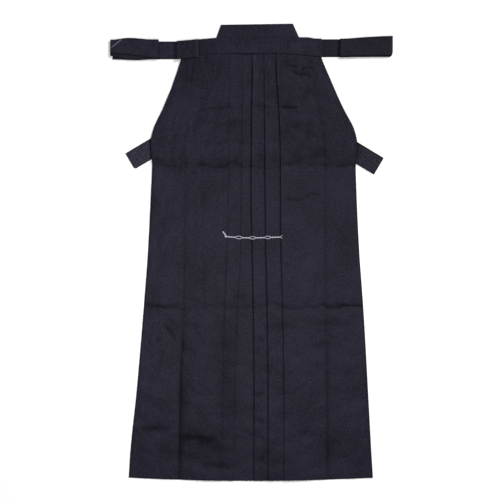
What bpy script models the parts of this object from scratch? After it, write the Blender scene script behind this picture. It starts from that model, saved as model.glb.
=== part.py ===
# Hakama trousers laid flat on their back, pleated front up, with their own ties.
#
# Sizes are in millimetres and become metres where a mesh is made. X runs to the right of the
# garment as it lies, Y runs from hem to waist, and Z is up, away from the surface it lies on.
# The origin is on that surface, under the middle of everything built. "Right" and "left" in the
# names are the wearer's, so the right leg lies on the -X side.

import bmesh
import bpy
from mathutils import Vector

MM = 0.001

# Driving sizes: a 95 cm hakama, which is measured from hem to the lower edge of the front band
HEM_TO_BAND = 950.0
OVERALL_LENGTH = 1014.0
OVERALL_WIDTH = 627.0
TIE_WIDTH = 38.0

# Walls and the clearance between any two layers
CLOTH = 1.0
GAP = 0.3
PITCH = CLOTH + GAP
BAND_WALL = 1.4
FRONT_TIE_WALL = 1.2
BACK_TIE_WALL = 1.4
BACK_TIE_REST = 0.1
BOARD_THICKNESS = 2.8

# Pleats: how far each one is folded in, and how far a layer takes to climb over the one below
PLEAT_DEPTH_AT_HEM = 50.0
PLEAT_DEPTH_AT_WAIST = 38.0
CLIMB = 8.0
CENTRE_SEAM_BEHIND_FOLD = 13.0

# Heights that the layers lie at, measured to the underside of a layer
LOWER_TIE_Z = 1.7
UPPER_TIE_Z = LOWER_TIE_Z + FRONT_TIE_WALL + GAP
FRONT_OVER_TIES = UPPER_TIE_Z + FRONT_TIE_WALL + GAP
FRONT_OVER_BACK = CLOTH + GAP
TIES_START_UP = 699.0
TIES_CLEARED_UP = 646.0
SLIT_DROOP = 2.0

# The cloth stands a little between the creases that packing pressed across it
CROSS_CREASES = (0.0, 388.0, TIES_CLEARED_UP)
PUFF = 2.2

# Bow of the hem and of the waist seam between the middle and each side
HEM_BOW = 7.0
HEM_BOW_ENDS_UP = 200.0
HEM_HALF_WIDTH = 271.0
WAIST_BOW = 9.0
WAIST_BOW_STARTS_UP = 780.0
WAIST_HALF_WIDTH = 160.0

# Sections across the legs. up: height above the hem; left and right: the side edges; creases: the
# pressed lines beside them; a to e: the edges of the five front pleats, from -X to +X.
COLUMNS = ("up", "left", "left_crease", "a", "b", "c", "d", "e", "right_crease", "right")
SECTIONS = (
    (0, -274.0, -161.0, -66.5, -39.5, 3.5, 35.0, 71.0, 168.0, 268.5),
    (68, -269.5, -160.0, -66.0, -39.0, 3.5, 35.0, 71.0, 168.0, 264.5),
    (202, -256.0, -158.0, -64.5, -38.0, 3.5, 35.0, 70.5, 166.5, 257.5),
    (379, -241.0, -152.0, -60.0, -32.0, 2.5, 33.5, 68.5, 164.0, 247.5),
    (512, -231.0, -149.0, -55.0, -24.5, 0.5, 30.5, 66.0, 162.5, 238.0),
    (646, -224.3, -148.0, -52.0, -23.0, -2.5, 28.5, 65.0, 162.0, 231.8),
    (699, -222.0, -148.0, -52.0, -22.5, -2.7, 28.0, 65.0, 162.0, 230.3),
    (752, -225.0, -148.0, -51.5, -22.5, -2.2, 28.0, 64.0, 160.0, 233.0),
    (779, -219.5, -146.0, -51.5, -22.0, -2.0, 28.0, 63.0, 158.0, 227.0),
    (832, -197.5, -140.0, -51.0, -20.5, -1.0, 28.0, 60.0, 148.0, 203.0),
    (905, -170.0, -132.0, -51.0, -20.0, 1.0, 28.0, 55.5, 135.0, 171.5),
    (944, -157.0, -128.0, -51.0, -20.0, 1.0, 28.0, 55.0, 129.0, 155.0),
    (962, -150.5, -125.0, -51.0, -20.0, 1.0, 28.0, 55.0, 126.0, 149.0),
)
FRONT_ROWS = (
    0, 20, 68, 135, 202, 290, 360, 388, 416, 464, 512, 580, 646,
    672, 699, 725, 752, 779, 806, 832, 868, 905, 930, 950, 956, 962,
)
BACK_ROWS = (0, 68, 202, 379, 512, 646, 699, 752, 779)

# The stiff back board, which stands above the band: corners from lower left, anticlockwise
BOARD_LOWER_LEFT = (-98.0, 421.0)
BOARD_LOWER_RIGHT = (130.0, 423.0)
BOARD_UPPER_RIGHT = (92.0, 507.0)
BOARD_UPPER_LEFT = (-68.0, 504.3)
BOARD_EDGE_RADIUS = 0.8

# The front band: its ends, the line of its upper edge, and how it comes down behind the pleats.
# At its -X end it is doubled back over itself before it turns under.
BAND_LEFT = -166.0
BAND_RIGHT_LOW = 158.5
BAND_RIGHT_HIGH = 156.0
BAND_TURN_IN = 4.5
BAND_FOLD_INNER = -118.0
BAND_FOLD_DROP = 1.8
BAND_UPPER_EDGE = ((-166.0, 468.5), (-79.0, 475.5), (92.0, 476.5), (138.0, 473.0), (158.5, 474.0))
BAND_OVER_FRONT = GAP + 0.1
BAND_SEAM_DEPTH = 12.0
BAND_FALL_STARTS = 14.5
BAND_REST_OVER_BOARD = BOARD_THICKNESS + 0.9
BAND_REST_OVER_TIES = FRONT_OVER_TIES
BAND_OVER_BOARD_HALF = 70.0

# The front ties cross between front and back and come out of the slits opposite.
# start and tip are the ends of each tie's middle line; droop is where it leaves the garment.
FRONT_TIE_LENGTH_STEPS = 14
LEFT_TIE = {"start": (134.0, 441.0), "tip": (-269.5, 202.5), "leaves_at": -229.0}
RIGHT_TIE = {"start": (-138.0, 443.0), "tip": (280.8, 192.6), "leaves_at": 238.0}
OVER_BOARD_Z = BOARD_THICKNESS + GAP
OVER_BOARD_RUN = 75.0
OVER_BOARD_RAMP = 45.0
TIP_Z = 0.1

# The back ties: each leaves the board, and its end is folded to and fro into a flat bundle.
# turns are where it turns back, at the bundle's inner and outer end by turns: the lower and upper
# edge there, and how far short of the end it stops. middles are its edges halfway along each pass.
# The first pass lies on the surface.
RIGHT_BUNDLE = {
    "outer": -OVERALL_WIDTH / 2,
    "inner": -205.5,
    "turns": (
        (431.0, 469.0, 0.0), (430.3, 468.5, 5.0), (431.0, 471.5, 0.0),
        (437.0, 471.8, 0.0), (432.0, 472.2, 0.6), (442.8, 472.0, 0.8),
    ),
    "middles": ((430.5, 468.5), (428.2, 470.0), (433.0, 474.8), (430.0, 472.0), (438.0, 472.5)),
    "loose_corner": (0.0, 0.0, 0.0, 9.0, 18.0),
}
LEFT_BUNDLE = {
    "outer": OVERALL_WIDTH / 2,
    "inner": 195.5,
    "turns": (
        (435.0, 473.0, 0.0), (435.3, 473.5, 7.5), (434.8, 473.2, 0.0),
        (440.8, 480.0, 0.0), (435.8, 473.8, 0.6), (439.6, 479.0, 1.2),
    ),
    "middles": ((435.2, 473.5), (435.0, 473.2), (436.2, 475.5), (437.4, 477.5), (438.4, 476.3)),
    "loose_corner": (7.0, 2.0, 0.4, 0.0, 0.5),
}

NAVY = (0.020, 0.019, 0.030, 1.0)
BOARD_NAVY = (0.022, 0.021, 0.031, 1.0)


def between(table, x):
    """Straight-line reading of a table of (x, value) pairs, held at its ends."""
    if x <= table[0][0]:
        return table[0][1]
    for (x0, v0), (x1, v1) in zip(table, table[1:]):
        if x <= x1:
            return v0 + (v1 - v0) * (x - x0) / (x1 - x0)
    return table[-1][1]


def section_value(name, up):
    """One named column of SECTIONS at a height above the hem."""
    column = COLUMNS.index(name)
    return between([(row[0], row[column]) for row in SECTIONS], up)


def pleat_depth(up):
    return between([(0.0, PLEAT_DEPTH_AT_HEM), (HEM_TO_BAND, PLEAT_DEPTH_AT_WAIST)], up)


def lines_across(up):
    """Every line that a section bends at, by name, at a height above the hem."""
    line = {name: section_value(name, up) for name in COLUMNS[1:]}
    depth = pleat_depth(up)
    line["a_in"] = line["a"] - depth
    line["b_in"] = line["b"] - depth
    line["c_in"] = line["c"] + depth
    line["d_in"] = line["d"] + depth
    line["e_in"] = line["e"] + depth
    line["a_climb"] = line["a_in"] - CLIMB
    line["b_climb"] = line["b_in"] - CLIMB
    line["c_climb"] = line["c_in"] + CLIMB
    line["d_climb"] = line["d_in"] + CLIMB
    line["e_climb"] = line["e_in"] + CLIMB
    line["left_mid"] = (line["left_crease"] + line["a_climb"]) / 2
    line["right_mid"] = (line["right_crease"] + line["e_climb"]) / 2
    line["centre_right"] = line["c"] + CENTRE_SEAM_BEHIND_FOLD
    line["centre_left"] = line["centre_right"] + GAP
    return line


# Each step of a section is a line across it and the number of layers of this front that lie
# below the cloth there. Two steps with one line are a folded edge.
RIGHT_FRONT_PATH = (
    ("left", 0), ("left_crease", 0), ("left_mid", 0), ("a_climb", 0), ("a_in", 2),
    ("b_climb", 2), ("b_in", 4), ("a", 4),
    ("a", 3), ("b_in", 3), ("b_climb", 1), ("a_in", 1),
    ("a_in", 0), ("b_climb", 0), ("b_in", 2), ("a", 2), ("b", 2),
    ("b", 1), ("a", 1), ("b_in", 1),
    ("b_in", 0), ("a", 0), ("b", 0), ("c", 0), ("centre_right", 0),
)
LEFT_FRONT_PATH = (
    ("right", 0), ("right_crease", 0), ("right_mid", 0), ("e_climb", 0), ("e_in", 2),
    ("d_climb", 2), ("d_in", 4), ("e", 4),
    ("e", 3), ("d_in", 3), ("d_climb", 1), ("e_in", 1),
    ("e_in", 0), ("d_climb", 0), ("d_in", 2), ("e", 2), ("c_climb", 2), ("c_in", 4), ("d", 4),
    ("d", 3), ("c_in", 3), ("c_climb", 1), ("e", 1), ("d_in", 1),
    ("d_in", 0), ("e", 0), ("c_climb", 0), ("c_in", 2), ("d", 2), ("centre_left", 2), ("c", 2),
    ("c", 1), ("centre_left", 1), ("d", 1), ("c_in", 1),
    ("c_in", 0), ("d", 0), ("centre_left", 0),
)
# The band bridges the valleys between pleats, so it only climbs up to them and down again
BAND_PATH = (
    ("left", 0), ("left_crease", 0), ("a_climb", 0), ("a_in", 2), ("b_climb", 2), ("b_in", 4),
    ("a", 4), ("c", 4), ("e", 4), ("d_in", 4), ("d_climb", 2), ("e_in", 2), ("e_climb", 0),
    ("right_crease", 0), ("right", 0),
)


def row_y(up, x):
    """Where a row of the garment lies in Y, with the bow of the hem and of the waist seam."""
    hem = HEM_BOW * max(0.0, 1 - up / HEM_BOW_ENDS_UP) * (x / HEM_HALF_WIDTH) ** 2
    share = min(1.0, max(0.0, (up - WAIST_BOW_STARTS_UP) / (HEM_TO_BAND - WAIST_BOW_STARTS_UP)))
    waist = WAIST_BOW * share * abs(x / WAIST_HALF_WIDTH) ** 3
    return up - OVERALL_LENGTH / 2 + hem - waist


def puff(up):
    """How far the cloth stands up between two pressed creases."""
    for low, high in zip(CROSS_CREASES, CROSS_CREASES[1:]):
        if low < up < high:
            share = (up - low) / (high - low)
            return PUFF * (4 * share * (1 - share)) ** 0.7
    return 0.0


def front_base(up, at_side):
    """Underside of the front's lowest layer: on the back, or bridging the two crossed ties."""
    rise = FRONT_OVER_TIES - FRONT_OVER_BACK
    base = FRONT_OVER_BACK + between([(TIES_CLEARED_UP, 0.0), (TIES_START_UP, rise)], up)
    if at_side:
        return base - between([(806, 0.0), (868, SLIT_DROOP), (905, SLIT_DROOP / 2), (930, 0.0)], up)
    return base + puff(up)


def front_z(up, line, layers_below):
    """Middle of the cloth at a line across the front."""
    return front_base(up, line in ("left", "right")) + CLOTH / 2 + PITCH * layers_below


def empty_scene():
    for obj in list(bpy.data.objects):
        bpy.data.objects.remove(obj, do_unlink=True)


def cloth_material(name, colour, roughness):
    material = bpy.data.materials.new(name)
    material.use_nodes = True
    surface = material.node_tree.nodes["Principled BSDF"]
    surface.inputs["Base Color"].default_value = colour
    surface.inputs["Roughness"].default_value = roughness
    surface.inputs["Metallic"].default_value = 0.0
    return material


def linked_object(name, mesh, material, collection):
    obj = bpy.data.objects.new(name, mesh)
    obj.data.materials.append(material)
    collection.objects.link(obj)
    return obj


def add_wall(obj, thickness):
    """Gives an open surface its thickness, half to each side."""
    solidify = obj.modifiers.new("wall", "SOLIDIFY")
    solidify.thickness = thickness * MM
    solidify.offset = 0.0
    solidify.use_even_offset = True
    solidify.use_rim = True


def cloth_from_rows(name, rows, wall, material, collection):
    """A sheet through rows of points of equal number, laid out from a grid and given its wall."""
    across = len(rows[0]) - 1
    along = len(rows) - 1
    bm = bmesh.new()
    bmesh.ops.create_grid(bm, x_segments=across, y_segments=along, size=1.0)
    for vertex in bm.verts:
        column = round((vertex.co.x + 1) / 2 * across)
        row = round((vertex.co.y + 1) / 2 * along)
        vertex.co = Vector(rows[row][column]) * MM
    mesh = bpy.data.meshes.new(name)
    bm.to_mesh(mesh)
    bm.free()
    obj = linked_object(name, mesh, material, collection)
    add_wall(obj, wall)
    return obj


def front_leg(name, path, material, collection):
    """A pleated front: one sheet folded to and fro along its path, from hem to waist."""
    rows = []
    for up in FRONT_ROWS:
        line = lines_across(up)
        rows.append([(line[at], row_y(up, line[at]), front_z(up, at, below)) for at, below in path])
    return cloth_from_rows(name, rows, CLOTH, material, collection)


def back_top(x):
    """Upper edge of the back, just under the board."""
    return between([BOARD_LOWER_LEFT, BOARD_LOWER_RIGHT], x) - GAP


def back_leg(name, side, centre, top_corner, material, collection):
    """A plain back, flat on the surface; above the slit it narrows to the board."""
    z = CLOTH / 2
    rows = []
    for up in BACK_ROWS:
        line = lines_across(up)
        ends = (line[side], (line[side] + line[centre]) / 2, line[centre])
        rows.append([(x, row_y(up, x), z) for x in ends])
    last = rows[-1]
    waist_centre = lines_across(HEM_TO_BAND)[centre]
    ends = (top_corner, (top_corner + waist_centre) / 2, waist_centre)
    top = [(x, back_top(x), z) for x in ends]
    for share in (0.35, 0.7, 1.0):
        rows.append(
            [tuple(Vector(low).lerp(Vector(high), share)) for low, high in zip(last, top)]
        )
    return cloth_from_rows(name, rows, CLOTH, material, collection)


def back_board(material, collection):
    """The trapezium board in the small of the back, flat on the surface with softened edges."""
    corners = (BOARD_LOWER_LEFT, BOARD_LOWER_RIGHT, BOARD_UPPER_RIGHT, BOARD_UPPER_LEFT)
    bm = bmesh.new()
    z = BOARD_THICKNESS / 2
    bm.faces.new([bm.verts.new(Vector((x, y, z)) * MM) for x, y in corners])
    mesh = bpy.data.meshes.new("back_board")
    bm.to_mesh(mesh)
    bm.free()
    board = linked_object("back_board", mesh, material, collection)
    add_wall(board, BOARD_THICKNESS)
    bevel = board.modifiers.new("soft edges", "BEVEL")
    bevel.width = BOARD_EDGE_RADIUS * MM
    bevel.segments = 2
    return board


def band_rest(x):
    """Underside of the band's upper edge: over the board in the middle, over the ties outside."""
    half = BAND_OVER_BOARD_HALF
    return between([(half, BAND_REST_OVER_BOARD), (half + 30.0, BAND_REST_OVER_TIES)], abs(x))


def band_point(x, rise, layers_below):
    """A point of the band, rise above its lower edge, or at its upper edge if rise is None."""
    low_y = row_y(HEM_TO_BAND, x)
    top_y = between(BAND_UPPER_EDGE, x)
    y = top_y if rise is None else low_y + rise
    on_pleats = FRONT_OVER_TIES + CLOTH + BAND_OVER_FRONT + PITCH * layers_below
    fallen = max(0.0, y - low_y - BAND_FALL_STARTS) / (top_y - low_y - BAND_FALL_STARTS)
    eased = fallen * fallen * (3 - 2 * fallen)
    return x, y, on_pleats + (band_rest(x) - on_pleats) * eased + BAND_WALL / 2


def front_band(material, collection):
    """The band over the front's top edge: on the pleats below, coming down behind them above."""
    rows = []
    for rise in (0.0, 6.0, BAND_SEAM_DEPTH, BAND_FALL_STARTS, 20.0, 27.0, None):
        up = HEM_TO_BAND + (BAND_SEAM_DEPTH if rise is None else min(rise, BAND_SEAM_DEPTH))
        line = lines_across(up)
        row = [band_point(line[at], rise, below) for at, below in BAND_PATH]
        x, y, z = row[0]
        row[0] = (x, y - fold_drop(rise), z)
        rows.append(doubled_left_end(rise) + row + turned_right_end(rise))
    return cloth_from_rows("front_band", rows, BAND_WALL, material, collection)


def fold_drop(rise):
    """How much lower the doubled end hangs than the band, less and less up to its upper edge."""
    return BAND_FOLD_DROP * (0.0 if rise is None else 1 - rise / 35.0)


def doubled_left_end(rise):
    """The -X end: turned under, over the top to a fold, back to the edge, then on as the band."""
    step = BAND_WALL + GAP
    outside = BAND_LEFT + BAND_WALL / 2
    steps = (
        (BAND_LEFT + BAND_TURN_IN, -1), (outside, -1), (outside, 2),
        (BAND_FOLD_INNER, 2), (BAND_FOLD_INNER, 1), (outside + step, 1), (outside + step, 0),
    )
    points = []
    for x, level in steps:
        x, y, z = band_point(x, rise, 0)
        points.append((x, y - fold_drop(rise), z + step * level))
    return points


def turned_right_end(rise):
    """The +X end, which turns down and a little way back in; it spreads towards its lower edge."""
    share_up = 1.0 if rise is None else rise / 35.0
    outside = BAND_RIGHT_LOW + (BAND_RIGHT_HIGH - BAND_RIGHT_LOW) * share_up - BAND_WALL / 2
    steps = ((outside, 0), (outside, -1), (outside + BAND_WALL / 2 - BAND_TURN_IN, -1))
    points = [(*band_point(x, rise, 0), level) for x, level in steps]
    return [(x, y, z + (BAND_WALL + GAP) * level) for x, y, z, level in points]


def front_tie(name, tie, start_z, run_z, material, collection):
    """A flat tie on a straight line between the layers, drooping to the surface past the slit."""
    start = Vector(tie["start"])
    tip = Vector(tie["tip"])
    length = (tip - start).length
    ahead = (tip - start).normalized()
    aside = Vector((-ahead.y, ahead.x)) * TIE_WIDTH / 2
    leaves = length * (tie["leaves_at"] - start.x) / (tip.x - start.x)
    heights = [
        (0.0, start_z), (OVER_BOARD_RUN, start_z), (OVER_BOARD_RUN + OVER_BOARD_RAMP, run_z),
        (leaves, run_z), (length, TIP_Z),
    ]
    along = sorted({length * i / FRONT_TIE_LENGTH_STEPS for i in range(FRONT_TIE_LENGTH_STEPS + 1)}
                   | {OVER_BOARD_RUN, OVER_BOARD_RUN + OVER_BOARD_RAMP, leaves})
    rows = []
    for distance in along:
        middle = start + ahead * distance
        z = between(heights, distance) + FRONT_TIE_WALL / 2
        rows.append([(*(middle + aside * side), z) for side in (-1, 0, 1)])
    return cloth_from_rows(name, rows, FRONT_TIE_WALL, material, collection)


def board_side(y, left):
    """Where the board's slanting side edge lies at a height."""
    low, high = (BOARD_LOWER_LEFT, BOARD_UPPER_LEFT) if left else (BOARD_LOWER_RIGHT, BOARD_UPPER_RIGHT)
    return between([(low[1], low[0]), (high[1], high[0])], y)


def across_tie(low, high, z, x_at):
    """A row of five points across a tie, from its lower edge to its upper one."""
    heights = [low + (high - low) * i / 4 for i in range(5)]
    return [(x_at(i, y), y, z) for i, y in enumerate(heights)]


def back_tie(name, bundle, material, collection):
    """A tie from the board outwards, then folded to and fro, each pass lying on the last."""
    outwards = 1.0 if bundle["outer"] > 0 else -1.0
    turns = bundle["turns"]
    loose = bundle["loose_corner"]
    half = BACK_TIE_WALL / 2
    ends = (bundle["inner"] + outwards * half, bundle["outer"] - outwards * half)
    z = half + BACK_TIE_REST
    low, high, _ = turns[0]
    beside_board = outwards * GAP * 1.15
    rows = [across_tie(low, high, z, lambda i, y: board_side(y, outwards < 0) + beside_board)]
    for number, (middle_low, middle_high) in enumerate(bundle["middles"]):
        # Passes run outwards and inwards by turns, the first one outwards
        goes_out = number % 2 == 0
        reached = []
        for at_outer, (low, high, short) in zip((not goes_out, goes_out), turns[number:number + 2]):
            inwards = -outwards if at_outer else outwards
            reached.append(ends[at_outer] + inwards * short)
            if len(reached) == 2:
                middle = sum(reached) / 2
                rows.append(across_tie(middle_low, middle_high, z, lambda i, y: middle))
            end = reached[-1]
            is_loose = number == len(bundle["middles"]) - 1 and len(reached) == 2
            cut = loose if is_loose else (0.0,) * 5
            rows.append(across_tie(low, high, z, lambda i, y: end + inwards * cut[i]))
        z += BACK_TIE_WALL + GAP
    return cloth_from_rows(name, rows, BACK_TIE_WALL, material, collection)


def build():
    empty_scene()
    garment = bpy.data.collections.new("hakama")
    bpy.context.scene.collection.children.link(garment)
    cloth = cloth_material("navy twill", NAVY, 0.85)
    stiff = cloth_material("navy twill over board", BOARD_NAVY, 0.8)
    front_leg("front_leg_right", RIGHT_FRONT_PATH, cloth, garment)
    front_leg("front_leg_left", LEFT_FRONT_PATH, cloth, garment)
    back_leg("back_leg_right", "left", "centre_right", BOARD_LOWER_LEFT[0], cloth, garment)
    back_leg("back_leg_left", "right", "centre_left", BOARD_LOWER_RIGHT[0], cloth, garment)
    front_band(cloth, garment)
    front_tie("front_tie_left", LEFT_TIE, OVER_BOARD_Z, LOWER_TIE_Z, cloth, garment)
    front_tie("front_tie_right", RIGHT_TIE, UPPER_TIE_Z, UPPER_TIE_Z, cloth, garment)
    back_board(stiff, garment)
    back_tie("back_tie_right", RIGHT_BUNDLE, cloth, garment)
    back_tie("back_tie_left", LEFT_BUNDLE, cloth, garment)


build()
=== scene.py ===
# Hakama trousers lying flat on their back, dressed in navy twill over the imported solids.
# Working sizes are millimetres, X to the right, Y from hem to waist, Z up from the surface.
import math

import bmesh
import bpy
import numpy as np
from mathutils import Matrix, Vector
from mathutils.bvhtree import BVHTree


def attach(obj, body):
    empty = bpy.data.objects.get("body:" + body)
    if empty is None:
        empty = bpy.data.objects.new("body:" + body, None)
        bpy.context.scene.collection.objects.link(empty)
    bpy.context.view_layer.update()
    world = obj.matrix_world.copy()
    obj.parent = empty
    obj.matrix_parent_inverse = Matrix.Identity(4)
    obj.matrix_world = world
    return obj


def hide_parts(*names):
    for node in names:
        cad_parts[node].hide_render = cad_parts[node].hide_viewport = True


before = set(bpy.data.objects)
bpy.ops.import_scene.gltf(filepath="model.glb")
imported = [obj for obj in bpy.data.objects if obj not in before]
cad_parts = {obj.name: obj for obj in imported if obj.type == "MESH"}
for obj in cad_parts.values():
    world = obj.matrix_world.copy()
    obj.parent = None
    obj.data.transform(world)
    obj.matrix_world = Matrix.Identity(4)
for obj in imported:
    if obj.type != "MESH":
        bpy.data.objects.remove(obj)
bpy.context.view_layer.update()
mm = 0.001


def smoothRead(table, at):
    # reads (position, value) pairs on a curve that never overshoots, held at both ends
    xs, ys = np.array(table, float).T
    at = np.clip(at, xs[0], xs[-1])
    steps = np.diff(xs)
    rises = np.diff(ys) / steps
    slopes = np.zeros(len(xs))
    slopes[0], slopes[-1] = rises[0], rises[-1]
    if len(xs) > 2:
        before, after = rises[:-1], rises[1:]
        turning = before * after <= 0
        safeBefore = np.where(turning, 1.0, before)
        safeAfter = np.where(turning, 1.0, after)
        weightA = 2 * steps[1:] + steps[:-1]
        weightB = steps[1:] + 2 * steps[:-1]
        mean = (weightA + weightB) / (weightA / safeBefore + weightB / safeAfter)
        slopes[1:-1] = np.where(turning, 0.0, mean)
    i = np.clip(np.searchsorted(xs, at, side="right") - 1, 0, len(xs) - 2)
    t = (at - xs[i]) / steps[i]
    rise = ys[i + 1] - ys[i]
    return (
        ys[i] + rise * t * t * (3 - 2 * t)
        + steps[i] * t * (1 - t) * (slopes[i] * (1 - t) - slopes[i + 1] * t)
    )


def plainRead(table, at):
    xs, ys = np.array(table, float).T
    return np.interp(at, xs, ys)


def easeInOut(t):
    t = np.clip(t, 0.0, 1.0)
    return t * t * (3 - 2 * t)


def spread(start, end, spacing):
    # positions from start to end, evenly spaced and no further apart than spacing
    return np.linspace(start, end, max(1, math.ceil(abs(end - start) / spacing)) + 1)


def newObject(name, data):
    obj = bpy.data.objects.new(name, data)
    bpy.context.scene.collection.objects.link(obj)
    return obj


def gridMesh(name, across, up, size):
    bm = bmesh.new()
    bmesh.ops.create_grid(bm, x_segments=across, y_segments=up, size=size)
    mesh = bpy.data.meshes.new(name)
    bm.to_mesh(mesh)
    bm.free()
    return mesh


def readPoints(mesh):
    flat = np.empty(len(mesh.vertices) * 3)
    mesh.vertices.foreach_get("co", flat)
    return flat.reshape(-1, 3)


garment = {
    "hemToBand": 950.0,
    "length": 1014.0,
    "tieWidth": 38.0,
    "pleatDepthHem": 50.0,
    "pleatDepthWaist": 38.0,
    "centreSeamBehindFold": 13.0,
    "hemBow": 7.0,
    "hemBowEndsUp": 200.0,
    "hemHalfWidth": 271.0,
    "waistBow": 9.0,
    "waistBowStartsUp": 780.0,
    "waistHalfWidth": 160.0,
}

# height above the hem, then where each line across the legs lies
lineNames = ("left", "leftCrease", "a", "b", "c", "d", "e", "rightCrease", "right")
sections = (
    (0, -272.7, -161.0, -66.5, -39.5, 6.8, 38.1, 73.2, 168.0, 269.6),
    (68, -268.2, -160.0, -66.0, -39.0, 6.8, 38.1, 73.2, 168.0, 265.6),
    (202, -254.7, -158.5, -64.5, -38.0, 7.0, 38.1, 73.0, 166.5, 258.6),
    (379, -239.7, -152.0, -60.0, -32.0, 5.2, 36.1, 70.2, 164.0, 248.6),
    (512, -229.7, -149.0, -55.0, -24.5, 2.7, 32.9, 66.8, 162.5, 239.1),
    (646, -223.0, -148.0, -52.0, -23.0, 0.4, 31.2, 65.4, 162.0, 232.9),
    (699, -220.7, -148.0, -52.0, -22.5, 0.6, 30.8, 65.4, 162.0, 231.4),
    (752, -223.7, -148.0, -51.5, -22.5, 0.9, 30.6, 64.6, 160.0, 234.1),
    (779, -218.2, -146.0, -51.5, -22.0, 1.1, 30.5, 63.8, 158.0, 228.1),
    (832, -196.2, -140.0, -51.0, -20.5, 1.7, 29.8, 61.0, 148.0, 204.1),
    (905, -168.7, -132.0, -51.0, -20.0, 3.0, 28.8, 56.5, 135.0, 172.6),
    (944, -155.7, -128.0, -51.0, -20.0, 2.6, 28.4, 55.8, 129.0, 156.1),
    (962, -149.2, -125.0, -51.0, -20.0, 2.4, 28.4, 55.8, 126.0, 150.1),
)


def lineX(name, up):
    # X of a named line at heights above the hem
    if name in lineNames:
        column = 1 + lineNames.index(name)
        return smoothRead([(row[0], row[column]) for row in sections], up)
    depth = plainRead(
        [(0.0, garment["pleatDepthHem"]), (garment["hemToBand"], garment["pleatDepthWaist"])], up
    )
    if name == "centreRight":
        return lineX("c", up) + garment["centreSeamBehindFold"]
    if name == "centreLeft":
        return lineX("c", up) + garment["centreSeamBehindFold"] + 0.3
    side = -1.0 if name in ("aIn", "bIn") else 1.0  # where a pleat's inner fold lies
    return lineX(name[0], up) + side * depth


def rowY(up, x):
    hem = garment["hemBow"] * np.maximum(0.0, 1 - up / garment["hemBowEndsUp"])
    share = (up - garment["waistBowStartsUp"]) / (garment["hemToBand"] - garment["waistBowStartsUp"])
    waist = garment["waistBow"] * np.clip(share, 0.0, 1.0)
    return (
        up - garment["length"] / 2
        + hem * (x / garment["hemHalfWidth"]) ** 2
        - waist * np.abs(x / garment["waistHalfWidth"]) ** 3
    )


def clothGrid(name, points, weave, wearAndHighlight=None, paintedShade=None):
    # a sheet from rows of points in millimetres, with its own thread directions as a UV map, how
    # rubbed each point is, which also paints a highlight, and how much painted shade of creases and
    # edges it gets
    rows, columns = points.shape[:2]
    mesh = gridMesh(name, columns - 1, rows - 1, 1.0)
    flat = readPoints(mesh)
    column = np.rint((flat[:, 0] + 1) / 2 * (columns - 1)).astype(int)
    row = np.rint((flat[:, 1] + 1) / 2 * (rows - 1)).astype(int)
    mesh.vertices.foreach_set("co", (points[row, column] * mm).ravel())
    corner = np.empty(len(mesh.loops), int)
    mesh.loops.foreach_get("vertex_index", corner)
    while mesh.uv_layers:
        mesh.uv_layers.remove(mesh.uv_layers[0])
    layer = mesh.uv_layers.new(name="weave")
    layer.data.foreach_set("uv", (weave[row, column][corner] * mm).ravel())
    for tone, amount in (("wearAndHighlight", wearAndHighlight), ("paintedShade", paintedShade)):
        amount = np.zeros((rows, columns)) if amount is None else np.clip(amount, 0.0, 1.0)
        mesh.attributes.new(tone, "FLOAT", "POINT").data.foreach_set("value", amount[row, column])
    mesh.update()
    return newObject(name, mesh)


def weaveAlong(points):
    # thread directions: the distance along each row, and the distance up the middle column
    steps = np.linalg.norm(np.diff(points, axis=1), axis=2)
    across = np.concatenate([np.zeros((len(points), 1)), np.cumsum(steps, axis=1)], axis=1)
    middle = points[:, points.shape[1] // 2]
    rise = np.concatenate([[0.0], np.cumsum(np.linalg.norm(np.diff(middle, axis=0), axis=1))])
    return np.stack([across, np.repeat(rise[:, None], points.shape[1], axis=1)], axis=2)


def finishedMesh(obj):
    # the modifiers become mesh, so that nothing later moves under the material
    graph = bpy.context.evaluated_depsgraph_get()
    made = bpy.data.meshes.new_from_object(
        obj.evaluated_get(graph), preserve_all_data_layers=True, depsgraph=graph
    )
    obj.modifiers.clear()
    obj.data = made
    made.polygons.foreach_set("use_smooth", [True] * len(made.polygons))
    made.set_sharp_from_angle(angle=math.radians(52))
    return obj


def giveWall(obj, thickness, edgeRadius=0.0, offset=0.0, rounds=2):
    # offset 0 puts the wall half to each side of the sheet, and 1 all of it above
    wall = obj.modifiers.new("wall", "SOLIDIFY")
    wall.thickness = thickness * mm
    wall.offset = offset
    wall.use_even_offset = True
    wall.use_rim = True
    if edgeRadius:
        soft = obj.modifiers.new("pressed edge", "BEVEL")
        soft.width = edgeRadius * mm
        soft.segments = rounds
        soft.limit_method = "ANGLE"
        soft.angle_limit = math.radians(60)
    return finishedMesh(obj)


def alongLine(points, x, y):
    # signed distance to a bent line, positive to the left of its direction, and how far along
    points = np.array(points, float)
    best = np.full(x.shape, 1e9)
    signed = np.zeros(x.shape)
    reached = np.zeros(x.shape)
    lengthSoFar = 0.0
    for (x0, y0), (x1, y1) in zip(points, points[1:]):
        dx, dy = x1 - x0, y1 - y0
        length = math.hypot(dx, dy)
        t = np.clip(((x - x0) * dx + (y - y0) * dy) / length**2, 0.0, 1.0)
        away = np.hypot(x - x0 - t * dx, y - y0 - t * dy)
        nearer = away < best
        side = np.where(dx * (y - y0) - dy * (x - x0) >= 0, 1.0, -1.0)
        best = np.where(nearer, away, best)
        signed = np.where(nearer, away * side, signed)
        reached = np.where(nearer, lengthSoFar + t * length, reached)
        lengthSoFar += length
    return signed, reached, lengthSoFar


def valley(distance, wideLeft, wideRight, blunt=0.9):
    # 1 at the bottom of a crease, fading to each side at its own rate
    wide = np.where(distance > 0, wideLeft, wideRight)
    return np.exp(-(np.sqrt(distance**2 + blunt**2) - blunt) / wide)


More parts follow.
